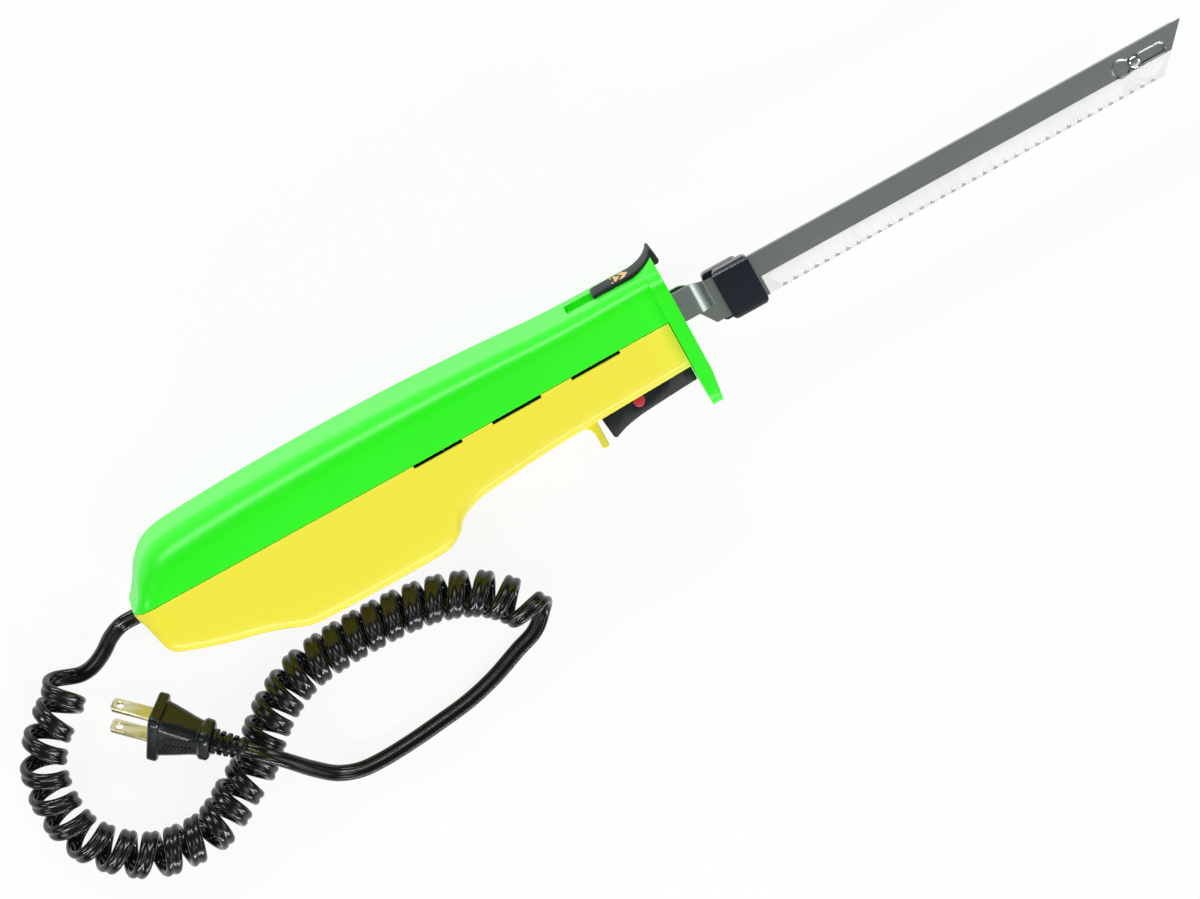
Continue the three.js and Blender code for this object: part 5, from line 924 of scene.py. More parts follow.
@dataclass
class Cord:
    """One flat twin cord: a straight lead, thirty curls, a last loop and a straight tail to its plug."""

    width: float = 6.6
    thick: float = 3.3
    groove: float = 0.62  # depth of the groove between the two conductors
    exit_point: tuple[float, float, float] = (0.3, -4.3, 0.0)
    curl_radius: float = 7.9
    curls: int = 30
    curl_steps: int = 48
    first_pitch: float = 11.0
    last_pitch: float = 8.8
    last_loop: float = 5.5  # how far the last curl opens out along the coil
    loop_share: float = 0.75  # and how much of it does
    rest: float = 1.8  # middle of a cord that lies on the table
    lead_route: Outline = (
        (-12.4, -7.2, 21.5),
        (-19.6, -13.4, 13.5),
        (-26.2, -17.6, 6.5),
    )
    curl_route: Outline = (
        (-38.4, -16.6),
        (-44.6, -24.4),
        (-53.7, -31.5),
        (-61.5, -41.6),
        (-64.5, -52.8),
        (-64.6, -65.1),
        (-62.1, -75.1),
        (-57.2, -82.7),
        (-48.7, -90.9),
        (-38.9, -96.3),
        (-27.3, -98.1),
        (-16.7, -97.8),
        (-7.1, -93.7),
        (0.6, -88.9),
        (8.9, -84.4),
        (15.4, -78.9),
        (20.2, -74.3),
        (27.4, -68.3),
        (37.8, -62.3),
        (48.1, -58.9),
        (58.2, -57.7),
        (68.4, -57.1),
        (87.5, -57.3),
        (97.3, -58.3),
        (106.2, -60.1),
        (115.2, -63.3),
        (123.4, -68),
        (130.5, -75),
        (135.5, -82.5),
    )
    tail_route: Outline = (
        (124.3, -95.3, 1.8),
        (109.7, -100.8, 1.8),
        (96.8, -104.1, 1.8),
        (81.8, -106.1, 1.8),
        (66.5, -107.6, 1.8),
        (55.2, -108, 2.1),
        (46.3, -107.2, 2.8),
        (38.1, -103.5, 5.8),
        (30.2, -95, 13.5),
        (22.6, -84.5, 22.5),
    )
    plug: Plug = field(default_factory=Plug)
    twist_run: float = 70.0  # before the plug, where the cord turns to lie as the plug does
    path: np.ndarray = field(default_factory=lambda: np.zeros((0, 3)))

    def on_table(self, points: Outline, height: float = 0.0) -> np.ndarray:
        """Points given over the table, in the knife's axes."""
        return np.array([[p[0], p[1], (p[2] if len(p) > 2 else height) + TABLE_Z] for p in points])

    def helix(self) -> tuple[np.ndarray, np.ndarray]:
        """The middle line of the curls, a left-handed helix round its route.

        Returns:
            The points, and for each the way from the coil's middle.
        """
        samples = 600
        route = evenly(curve_through(self.on_table(self.curl_route, self.curl_radius + self.rest)), samples)
        heading = np.gradient(route, axis=0)
        heading /= np.linalg.norm(heading, axis=1)[:, None]
        turn = np.arccos(np.clip((heading[1:] * heading[:-1]).sum(axis=1), -1, 1))
        share = np.linspace(1 / samples, 1, samples)
        crowding = 1 + turn * self.curl_radius * samples / line_length(route)
        pitch = self.first_pitch + (self.last_pitch - self.first_pitch) * share
        run = np.concatenate([[0], np.cumsum(1 / (pitch * crowding))])
        steps = self.curls * self.curl_steps
        at = np.interp(np.linspace(0, run[-1], steps + 1), run, np.linspace(0, 1, samples + 1)) * samples
        middle, axis = [between(at, np.arange(samples + 1), rows) for rows in (route, heading)]
        up = np.array([0.0, 0.0, 1.0])
        side = np.cross(axis, up)
        angle = 2 * math.pi * np.arange(steps + 1) / self.curl_steps
        outward = -up * np.cos(angle)[:, None] + side * np.sin(angle)[:, None]
        left = np.arange(steps, -1, -1) / self.curl_steps
        part = np.maximum(0, 1 - left / self.loop_share)
        opening = part**2 * (3 - 2 * part)
        return middle + outward * self.curl_radius + axis * (self.last_loop * opening)[:, None], outward

    def middle_line(self) -> tuple[np.ndarray, np.ndarray]:
        """The whole cord's middle line and the way that its flat side faces at each point."""
        curls, outward = self.helix()
        start, end = np.array(self.exit_point), self.on_table([self.plug.tail])[0]
        lead_end = self.straight_on(curls[0], curls[self.curl_steps // 8])
        tail_start = self.straight_on(curls[-1], curls[-1 - self.curl_steps // 8])
        lead = [start, start - [self.width, 0, 0], *self.on_table(self.lead_route), lead_end, curls[0]]
        axis = unit(end - self.on_table([self.plug.face])[0])
        run = self.on_table(self.tail_route)
        tail = [curls[-1], tail_start, *run, end + axis * self.width, end - axis * 4]
        lead_steps, tail_steps = 64, 190
        lead_line = evenly(curve_through(lead), lead_steps)
        tail_line = evenly(curve_through(tail), tail_steps)
        down = np.array([0.0, 0.0, -1.0])
        faces = [np.tile(down, (lead_steps, 1)), outward, self.twist(tail_line, axis)[1:]]
        line = np.vstack([lead_line[:-1], curls, tail_line[1:]])
        for joint in (lead_steps, lead_steps + len(curls)):
            self.ease(line, joint)
        return line, np.vstack(faces)

    def twist(self, tail: np.ndarray, axis: np.ndarray) -> np.ndarray:
        """Which way the tail's flat side faces: down on the table, and with the plug's roll at its end."""
        down = np.array([0.0, 0.0, -1.0])
        level = unit(np.cross(axis, down))
        roll = math.radians(self.plug.roll)
        rolled = math.cos(roll) * np.cross(axis, level) + math.sin(roll) * level
        rolled *= np.sign(rolled @ down)
        share = np.clip(1 - (1 - np.linspace(0, 1, len(tail))) * line_length(tail) / self.twist_run, 0, 1)
        share = (share**2 * (3 - 2 * share))[:, None]
        return (1 - share) * down + share * rolled

    def ease(self, line: np.ndarray, joint: int, reach: int = 16, passes: int = 30) -> None:
        """Take the corner out of a line where two runs meet, by averaging its points there."""
        low, high = joint - reach, joint + reach
        for _ in range(passes):
            beside = line[low - 1 : high - 1] + line[low + 1 : high + 1]
            line[low:high] = 0.5 * line[low:high] + 0.25 * beside

    def straight_on(self, place_: np.ndarray, before: np.ndarray) -> np.ndarray:
        """A point one width further, level, on the line from one point through another."""
        heading = place_ - before
        heading[2] = 0
        return place_ + unit(heading) * self.width

    def section(self) -> list[tuple[float, float]]:
        """The cord's section: two round conductors side by side with a groove between them."""
        r = self.thick / 2
        c = self.width / 2 - r
        half = [(c + r * math.cos(a), r * math.sin(a)) for a in np.radians(np.linspace(-128, 128, 11))]
        neck = r - self.groove
        return [*half, (0.0, neck), *[(-a, -b) for a, b in half], (0.0, -neck)]

    def build(self) -> bpy.types.Object:
        """Sweep the section along the whole cord."""
        line, facing = self.middle_line()
        heading = np.gradient(line, axis=0)
        heading /= np.linalg.norm(heading, axis=1)[:, None]
        rings = []
        last = None
        for at, ahead, out in zip(line, heading, facing):
            across = unit(np.cross(ahead, out))
            if last is not None and across @ last < 0:
                across = -across
            up = np.cross(across, ahead)
            rings.append([at + across * a + up * b for a, b in self.section()])
            last = across
        self.path = line
        cord = loft("curly_cord", rings)
        return seat(cord, Body.HANDLE, CORD_PVC, ("cord_lead", "cord_curls", "cord_tail"), smooth=60)


# Handle


@dataclass
class Handle:
    """The two shells of the handle: green back with the guard, yellow belly with the heel and the vents."""

    guard_back: float = 237.5
    half_width: float = 26.0
    front_half_width: float = 22.0
    taper_start: float = 130.0
    rear_corner: float = 10.5
    wall: float = 2.4
    rear_wall: float = 7.0
    split: float = 0.08
    rim: float = 0.4  # chamfer along the parting line
    front_height: float = 19.5
    front_depth: float = 20.5
    shoulder_rear: float = 14.0
    shoulder_front: float = 6.0
    keel_round: float = 6.0
    guard_thick: float = 6.0
    guard_drop: float = 37.6
    guard_round: float = 7.0
    guard_rake_drop: float = 24.0
    guard_rake: float = 1.7
    flare_rise: float = 4.2
    flare_length: float = 6.0
    flare_half: float = 17.0
    shank_z: float = 4.0
    channel_rear: float = 204.5
    channel_half: float = 7.8
    channel_floor: float = 17.2
    vent_starts: tuple[float, ...] = (123.4, 158.5, 193.7)
    vent_length: float = 21.6
    vent_height: float = 1.3
    slot_rear: float = 195.5
    slot_half: float = 9.0
    lock_x: float = 212.8
    lock_room: float = 3.15
    lock_swing: float = 1.0
    lock_side: float = 11.3
    prong_rear: float = 191.5
    prong_thick: float = 3.0
    prong_drop: float = 33.2
    prong_half: float = 15.0
    prong_fillet: float = 5.5
    screws: Outline = ((22, 15), (22, -15), (137, 17), (137, -17))
    crown: Outline = (
        (0, 0.7),
        (1.3, 1.4),
        (3.4, 4),
        (5.4, 7.2),
        (7.2, 10.5),
        (9.5, 14),
        (13.2, 17.9),
        (18, 20.7),
        (24, 22.2),
        (30, 22.7),
        (55, 23.8),
        (90, 24.2),
        (133, 23.4),
        (165, 21.9),
        (196, 20),
        (237.5, 19.5),
    )
    keel: Outline = (
        (0, 1.4),
        (1, 4),
        (2.8, 10.2),
        (4.7, 17),
        (6, 19.2),
        (8, 20.7),
        (10.5, 21.6),
        (18, 24.3),
        (29, 27.7),
        (39, 30.1),
        (47, 32.5),
        (55, 35.7),
        (59, 37),
        (64, 37.5),
        (115, 37.5),
        (121, 36.8),
        (127, 33.5),
        (130, 29.8),
        (135, 27),
        (141, 25.2),
        (157, 23.6),
        (172, 22.4),
        (196, 21.6),
        (237.5, 20.5),
    )

    def width_at(self, x: float) -> float:
        """Half the handle's width at a place along it."""
        if x < self.rear_corner:
            back = self.rear_corner - max(0.0, x)
            return self.half_width - self.rear_corner + math.sqrt(self.rear_corner**2 - back**2)
        if x < self.taper_start:
            return self.half_width
        run = (x - self.taper_start) / (self.guard_back - self.taper_start)
        return self.half_width + (self.front_half_width - self.half_width) * run

    def shoulder_at(self, x: float) -> float:
        """Rounding of the back at a place along the handle."""
        return self.shoulder_rear + (self.shoulder_front - self.shoulder_rear) * x / self.guard_back

    def half_section(
        self, x: float, width: float, height: float, round_: float, floor: float, sense: int
    ) -> list[Point]:
        """One half of the handle's section, from the near rim over the back or belly to the far rim.

        Args:
            x: Where along the handle.
            width: Half its width there.
            height: Height of the back, or depth of the belly.
            round_: Radius along its edges.
            floor: Where the sides start, away from the parting line.
            sense: 1 for the back, -1 for the belly.

        Returns:
            The section's points.
        """
        radius = min(round_, 0.9 * width, 0.9 * (height - floor))
        start = floor + min(self.rim, 0.2 * (height - radius - floor))
        near: list[tuple[float, float]] = [(width - self.rim, floor)]
        for k in range(5):
            near.append((width, start + (height - radius - start) * k / 5))
        for k in range(13):
            angle = math.radians(90 * k / 12)
            across, rise = radius * math.cos(angle), radius * math.sin(angle)
            near.append((width - radius + across, height - radius + rise))
        for k in range(1, 4):
            near.append(((width - radius) * (1 - k / 4), height))
        points = near + [(0.0, height)] + [(-z, y) for z, y in reversed(near)]
        return [(x, sense * y, z) for z, y in points]

    def stations(self, outline: Outline) -> np.ndarray:
        """Places along an outline, close together where it turns."""
        line = curve_through(outline)
        return evenly(line, int(line_length(line) / 1.6))

    def outside(self, name: str, outline: Outline, sense: int, front: float) -> bpy.types.Object:
        """The outside of one shell as a full body."""
        rings = []
        for x, height in self.stations(outline):
            round_ = self.shoulder_at(x) if sense == 1 else self.keel_round
            width = self.width_at(x)
            rings.append(self.half_section(min(x, front), width, height, round_, self.split, sense))
        return loft(name, rings)

    def inside(self, outline: Outline, sense: int, front: float) -> bpy.types.Object:
        """The hollow of one shell."""
        line = curve_through(outline)
        rings = []
        for x in np.linspace(self.rear_wall, front, 90):
            back = self.wall * max(0.0, 1 - x / (6 * self.rear_wall))
            height = float(np.interp(x - back, line[:, 0], line[:, 1])) - self.wall
            round_ = self.shoulder_at(x) if sense == 1 else self.keel_round
            width = self.width_at(min(x, self.guard_back) - back) - self.wall
            rings.append(self.half_section(x, width, height, max(1.0, round_ - self.wall), -1.0, sense))
        return loft("hollow", rings)

    def flare(self) -> bpy.types.Object:
        """The back's sweep up to the guard's front edge: an arch that grows towards the blades."""
        base = self.front_height - self.wall + 0.3
        beside = math.sqrt(1 - (self.channel_half / self.flare_half) ** 2)
        rings = []
        for share in np.linspace(0, 1, 13):
            x = self.guard_back - self.flare_length + (self.flare_length + self.guard_thick) * share
            rise = (self.front_height + self.flare_rise * share**2 - base) / beside
            turns = np.radians(np.linspace(0, 180, 41))
            rings.append([(x, base + rise * math.sin(a), self.flare_half * math.cos(a)) for a in turns])
        return loft("flare", rings)

    def channel(self, side: float) -> bpy.types.Object:
        """The thumb slide's channel in the back, as a cutting tool that reaches so far to each side."""
        low = (self.channel_rear, self.channel_floor, -side)
        return block("channel", low, (self.guard_back + 1, 40, side))

    def guard(self) -> bpy.types.Object:
        """The finger guard: a plate whose foot leans back, with the flare and a slot for each blade."""
        back, front = self.guard_back, self.guard_back + self.guard_thick
        half_width, top = self.half_width, self.front_height + 0.1
        outline = rounded(-self.guard_drop, top, -half_width, half_width, self.guard_round, 10)
        whole = carve(bar("guard", outline, back, front), "UNION", [self.flare()])
        half = self.channel_half
        wedge = [
            (front, -self.guard_rake_drop),
            (front - self.guard_rake, -self.guard_drop),
            (front - self.guard_rake, -self.guard_drop - 1),
            (front + 1, -self.guard_drop - 1),
            (front + 1, -self.guard_rake_drop),
        ]
        tools = [
            plate("rake", wedge, -30, 30),
            block("gap", (back - 1, self.front_height, -half), (front + 1, 40, half)),
            self.channel(half),
        ]
        for side in Side:
            z = side.value * self.shank_z
            tools.append(block("slot", (back - 1, -6.9, z - 1), (front + 1, 6.2, z + 1)))
        return soften(cut(whole, *tools), 0.6, 3)

    def upper(self) -> bpy.types.Object:
        """The green shell with its guard and the channel of the thumb slide."""
        shell = self.outside("upper_shell", self.crown, 1, self.guard_back + 1)
        cut(shell, self.inside(self.crown, 1, self.guard_back + 4), self.channel(self.channel_half))
        rear, half = self.channel_rear - self.wall, self.channel_half + self.wall
        low = (rear, self.channel_floor - 3.2, -half)
        floor = block("floor", low, (self.guard_back + 0.5, self.front_height - 0.6, half))
        cut(floor, self.channel(self.channel_half + 0.03), block("leg", (209, 0, -2.2), (222.5, 40, 2.2)))
        return seat(
            coat(merge("upper_casing_green", [shell, floor, self.guard()]), GREEN_ABS),
            Body.HANDLE,
            GREEN_ABS,
            ("upper_casing",),
        )

    def belly(self, x: float) -> float:
        """The belly's y at a place along the handle."""
        keel = curve_through(self.keel)
        return -float(np.interp(x, keel[:, 0], keel[:, 1]))

    def prong(self) -> bpy.types.Object:
        """The prong behind the trigger, which runs into the belly in a curve."""
        x0, x1 = self.prong_rear, self.prong_rear + self.prong_thick
        start = x0 - self.prong_fillet
        tip = self.prong_thick / 3
        low = -self.prong_drop + tip
        outline = [
            (x1, -self.front_depth + 1),
            (start, -self.front_depth + 1),
            *arc(start, self.belly(start) - self.prong_fillet, self.prong_fillet, 90, 0),
            *arc(x0 + tip, low, tip, 180, 270),
            *arc(x1 - tip, low, tip, 270, 360),
        ]
        return soften(plate("prong", outline, -self.prong_half, self.prong_half), 0.5, 3)

    def lower(self) -> bpy.types.Object:
        """The yellow shell with its vents, the trigger's slot, the prong and the screws' wells."""
        shell = self.outside("lower_shell", self.keel, -1, self.guard_back - 0.3)
        floor = -self.front_depth - 5
        lock = self.lock_x - self.lock_room
        tools = [
            self.inside(self.keel, -1, self.guard_back + 4),
            block(
                "slot",
                (self.slot_rear, floor, -self.slot_half),
                (240, -self.front_depth + 3.4, self.slot_half),
            ),
            block(
                "lock",
                (lock - self.lock_swing, floor, -self.lock_side),
                (self.lock_x + self.lock_room, -15.6, self.lock_side),
            ),
            block("grommet", (-5, -8.4, -3), (12.1, 1, 3)),
        ]
        for start in self.vent_starts:
            low = -self.split - self.vent_height
            tools.append(block("vent", (start, low, 13), (start + self.vent_length, 1, 27)))
            tools.append(block("vent", (start, low, -27), (start + self.vent_length, 1, -13)))
        wells = []
        for x, z in self.screws:
            belly = self.belly(x)
            tools.append(disc("well", (x, belly, z), "y", 3.3, 24))
            tube = disc("tube", (x, belly + 7, z), "y", 4.4, 10.4)
            wells.append(cut(tube, disc("bore", (x, belly + 7, z), "y", 3.3, 20)))
        cut(shell, *tools)
        return seat(
            coat(merge("lower_casing_yellow", [shell, self.prong(), *wells]), YELLOW_ABS),
            Body.HANDLE,
            YELLOW_ABS,
            ("lower_casing",),
        )

    def build(self) -> None:
        """Make both shells."""
        self.upper()
        self.lower()


# Blades


@dataclass
class Blades:
    """Two serrated blades that slide on each other, with their clips and the rivet that joins the tips."""

    guard_front: float = 243.5
    thick: float = 1.2
    gap: float = 0.3
    reach: float = 225.0
    shift: float = 1.85
    top: float = 3.7
    bottom: float = 13.8
    tip_cut: float = 16.0
    bevel_height: float = 8.0
    edge_thick: float = 0.35
    tooth_pitch: float = 4.7
    tooth_notch: float = 1.2
    far_lag: float = 1.35  # so that the far blade's teeth show in the near blade's notches
    shank_z: float = 4.0
    shank_top: float = 5.8
    shank_bottom: float = 6.5
    shank_rear: float = 207.8
    shank_reach: float = 5.4
    bend_length: float = 7.6
    heel_slope: float = 4.5
    clip_setback: float = 15.7
    clip_length: float = 15.7
    clip_top: float = 5.8
    clip_bottom: float = 15.0
    clip_outer: float = 7.0
    clip_round: float = 2.0
    bevel_setback: float = 1.5
    keyhole_setback: float = 29.6
    keyhole_r: float = 3.4
    keyhole_slot: float = 4.0
    keyhole_drop: float = 3.0
    keyhole_end: float = 12.6
    keyhole_rim: float = 0.7  # width of the chamfer round the keyhole, twice its depth
    gullet_r: float = 0.9  # ground groove between two teeth
    gullet_height: float = 2.2
    rivet_setback: float = 19.8
    rivet_r: float = 1.4
    rivet_head_r: float = 2.5
    rivet_head: float = 1.0

    def notches(self, side: Side, start: float, end: float) -> list[float]:
        """Places of the notches between the teeth of one blade, from the tip backwards."""
        count = int((end - start) / self.tooth_pitch) - 1
        first = end + (self.far_lag if side is Side.FAR else 0.0)
        return [first - self.tooth_pitch * (k + 1) for k in range(count)]

    def teeth(self, side: Side, start: float, end: float) -> list[tuple[float, float]]:
        """The serrated edge between two places: shallow scallops between flat teeth."""
        points = [(start, -self.bottom)]
        run = 0.3 * self.tooth_pitch
        for x in reversed(self.notches(side, start, end)):
            for k in range(7):
                angle = math.pi * k / 6
                points.append((x - run * math.cos(angle), -self.bottom + self.tooth_notch * math.sin(angle)))
        return [*points, (end, -self.bottom)]

    def gullets(self, side: Side, start: float, end: float) -> bpy.types.Object:
        """Grooves that the wheel grinds into the bevel between the teeth, as one cutting tool."""
        slope = (self.thick - self.edge_thick) / self.bevel_height
        steep = slope + self.edge_thick / self.gullet_height
        rings = []
        for rise in (-1.0, 5.0):
            z = self.gap / 2 + self.gullet_r + steep * rise
            ring = arc(0.0, z * side.value, self.gullet_r, 0, 340, 17)
            rings.append([(x, rise - self.bottom, z) for x, z in ring])
        places = self.notches(side, start, end)
        first, step = Vector((places[0], 0, 0)) * MM, Vector((-self.tooth_pitch, 0, 0)) * MM
        return Repeat("gullets", len(places), first, step, BLADE_BEVEL_PAINTED_HIGHLIGHT).build(loft("gullet", rings))

    def blade(self, side: Side) -> bpy.types.Object:
        """One blade at mid stroke: shank, inward bend, flat blade and ground bevel.

        Args:
            side: Which blade.

        Returns:
            The blade with its two finishes: darker steel on the flats for painted shade, brighter steel on
                the bevel for a painted highlight.
        """
        s = side.value
        inner, outer = self.gap / 2, self.gap / 2 + self.thick
        bend0 = self.guard_front + self.shank_reach
        bend1 = bend0 + self.bend_length
        tip = self.guard_front + self.reach
        ridge = -self.bottom + self.bevel_height
        clip_front = self.guard_front + self.clip_setback + self.clip_length
        bevel0 = clip_front + self.bevel_setback
        slant = self.tip_cut / (self.top + self.bottom)
        ridge_tip = tip - slant * (self.top - ridge)
        shank = []
        for t in np.linspace(0, 1, 13):
            ease = t * t * (3 - 2 * t)
            z = self.shank_z - self.thick / 2 + (inner - self.shank_z + self.thick / 2) * ease
            top = self.shank_top + (self.top - self.shank_top) * ease
            x = bend0 + (bend1 - bend0) * t
            shank.append((x, z, top))
        stations = [(self.shank_rear, shank[0][1], self.shank_top), *shank]
        rings = []
        for x, z, high in stations:
            low, inside, outside = -self.shank_bottom, s * z, s * (z + self.thick)
            rings.append([(x, low, inside), (x, low, outside), (x, high, outside), (x, high, inside)])
        parts = [loft("shank", rings)]
        flat = [
            (bend1, self.top),
            (bend1, -self.shank_bottom),
            (bend1 - self.heel_slope, -self.shank_bottom),
            (bend1 - self.heel_slope, -self.shank_bottom - 0.8),
            (bend1, -self.bottom),
            (bevel0, -self.bottom),
            (bevel0, ridge),
            (ridge_tip, ridge),
            (tip, self.top),
        ]
        parts.append(cut(plate("flat", flat, *sorted((s * inner, s * outer))), *self.holes(side)))
        for part in parts:
            # the flats and the shank take the darker copy of the steel: painted shade
            coat(part, BLADE_FLAT_PAINTED_SHADE)
        edge = [*self.teeth(side, bevel0, tip - self.tip_cut), (ridge_tip, ridge), (bevel0, ridge)]
        slope = (self.thick - self.edge_thick) / self.bevel_height
        bevel = plate("bevel", edge, s * inner, lambda y: s * (outer - slope * (ridge - y)))
        # the bevel takes the brighter copy of the steel: painted highlight
        coat(cut(bevel, *self.holes(side), self.gullets(side, bevel0, tip - self.tip_cut)), BLADE_BEVEL_PAINTED_HIGHLIGHT)
        return merge(f"{side.name.lower()}_blade_ground", [*parts, bevel])

    def holes(self, side: Side) -> list[bpy.types.Object]:
        """The near blade's keyhole, or the far blade's rivet hole, as cutting tools."""
        tip = self.guard_front + self.reach
        y = -self.keyhole_drop
        if side is Side.FAR:
            return [disc("hole", (tip - self.rivet_setback, y, 0), "z", self.rivet_r + 0.3, 8)]
        x, end = tip - self.keyhole_setback, tip - self.keyhole_end
        half = self.keyhole_slot / 2
        tools = [disc("eye", (x, y, 0), "z", self.keyhole_r, 8, 48)]
        tools.append(plate("slot", rounded(x, end + half, y - half, y + half, half - 0.01, 10), -4, 4))
        face = self.gap / 2 + self.thick
        rims = []
        for grow, z in ((0.0, face - self.keyhole_rim / 2), (self.keyhole_rim + 0.2, face + 0.1)):
            eye = arc(x, y, self.keyhole_r + grow, 0, 360 - 360 / 48, 47)
            wide = half + grow
            slot = rounded(x, end + wide, y - wide, y + wide, wide - 0.01, 10)
            rims.append([[(a, b, z) for a, b in outline] for outline in (eye, slot)])
        return tools + [loft("rim", list(pair)) for pair in zip(*rims)]

    def clip(self, side: Side) -> bpy.types.Object:
        """A moulded clip over the back and the edge of one blade."""
        s = side.value
        x0 = self.guard_front + self.clip_setback
        x1 = x0 + self.clip_length
        outline = rounded(x0, x1, -self.clip_bottom, self.clip_top, self.clip_round, 6)
        body = plate("clip", outline, *sorted((s * 0.3, s * self.clip_outer)))
        top, outer = self.clip_top, self.clip_outer
        rim = [(top + 0.01, s * (outer - 1.2)), (top - 1.6, s * (outer + 0.01)), (top + 1, s * (outer + 1))]
        room = sorted((-s, s * (self.gap / 2 + self.thick + 0.3)))
        low = -self.bottom - 0.3
        tools = [
            bar("rim", rim, x0 - 1, x1 + 1),
            block("seat", (x0 - 1, low, room[0]), (x1 + 1, self.top + 0.3, room[1])),
        ]
        name = f"{side.name.lower()}_clip_moulded"
        clip = soften(cut(body, *tools), 0.55, 3)
        clip.name = name
        return clip

    def rivet(self) -> bpy.types.Object:
        """The headed rivet of the far blade, turned about its own axis."""
        face = self.gap / 2 + self.thick + 0.3
        head, r = self.rivet_head, self.rivet_head_r
        profile = [
            (0.01, -face - head),
            (r - 0.5, -face - head),
            (r, -face - head / 2),
            (r, -face),
            (self.rivet_r, -face),
            (self.rivet_r, face),
            (r, face),
            (r, face + 0.35 * head),
            (r - 0.5, face + 0.8 * head),
            (0.5 * r, face + head),
            (0.01, face + head),
        ]
        x, y = self.guard_front + self.reach - self.rivet_setback, -self.keyhole_drop
        rings = [[(a, b, z) for a, b in arc(x, y, radius, 0, 350, 35)] for radius, z in profile]
        return loft("tip_rivet_turned", rings)

    def build(self) -> None:
        """Make both blades with what is on them, each at its place at rest."""
        for side, body in ((Side.NEAR, Body.NEAR_BLADE), (Side.FAR, Body.FAR_BLADE)):
            name = side.name.lower()
            pieces = [
                (self.blade(side), BLADE_FLAT_PAINTED_SHADE, f"{name}_blade", 20.0),
                (self.clip(side), BLACK_NYLON, f"{name}_blade_clip", 35.0),
            ]
            if side is Side.FAR:
                pieces.append((self.rivet(), GROUND_STEEL, "tip_rivet", 35.0))
            for piece, finish, node, smooth in pieces:
                piece.data.transform(Matrix.Translation((side.value * self.shift * MM, 0, 0)))
                seat(piece, body, finish, (node,), smooth)


# Trigger and thumb slide


@dataclass
class Trigger:
    """The finger trigger with its curved belly and the round lock button through it."""

    front: float = 237.0
    length: float = 40.7
    half_width: float = 8.5
    belly: float = -20.5
    front_drop: float = 7.5
    tip_drop: float = 12.5
    rise: float = 3.0
    top: float = -19.55
    step: float = 210.4
    pivot: tuple[float, float] = (232.0, -16.2)
    lug: float = 2.5
    pivot_r: float = 1.5
    lock: tuple[float, float] = (212.8, -24.3)
    lock_r: float = 2.35
    lock_stand: float = 1.2
    lock_travel: float = 1.2
    spring_x: float = 203.0
    spring_r: float = 3.4
    pocket: float = 5.5

    def outline(self) -> list[tuple[float, float]]:
        """The trigger seen from the side."""
        rear, tip, nose = self.front - self.length, self.belly - self.tip_drop, self.belly - self.front_drop
        x, y = self.pivot
        lug = arc(x, y, self.lug, 0, 180, 12)
        foot, toe, middle = (rear + 1.2, tip + 0.8), (rear + 2.4, tip), (rear + 17, nose - 1.6)
        return [
            (self.front, self.top),
            (x + self.lug, self.top),
            *lug,
            (x - self.lug, self.top),
            (self.step, self.top),
            (self.step, self.belly + self.rise),
            (rear, self.belly + self.rise),
            (rear + 0.2, self.belly - 3),
            foot,
            *lean(foot, (rear + 1.6, tip), toe),
            *lean(toe, (rear + 8, nose - 2.4), middle, 16),
            *lean(middle, (rear + 28, nose - 0.7), (self.front, nose), 12),
        ]

    def build(self) -> None:
        """Make the trigger and its lock button."""
        body = plate("trigger_moulded", self.outline(), -self.half_width, self.half_width)
        soften(body, 0.6, 3, 40)
        roof = self.belly + self.rise
        pocket = (self.spring_x, roof + 0.5 - self.pocket / 2, 0)
        tools = [
            disc("pivot", (*self.pivot, 0), "z", self.pivot_r, 40),
            disc("lock", (*self.lock, 0), "z", self.lock_r + 0.3, 40),
            disc("pocket", pocket, "y", self.spring_r, self.pocket + 1),
        ]
        seat(cut(body, *tools), Body.TRIGGER, BLACK_ABS, ("trigger",))
        low = -self.half_width + self.lock_stand - self.lock_travel
        high = self.half_width + self.lock_stand
        button = disc("lock_button_moulded", (*self.lock, (low + high) / 2), "z", self.lock_r, high - low, 48)
        soften(button, 0.45, 3)
        seat(button, Body.LOCK, RED_ABS, ("trigger_lock_button",))


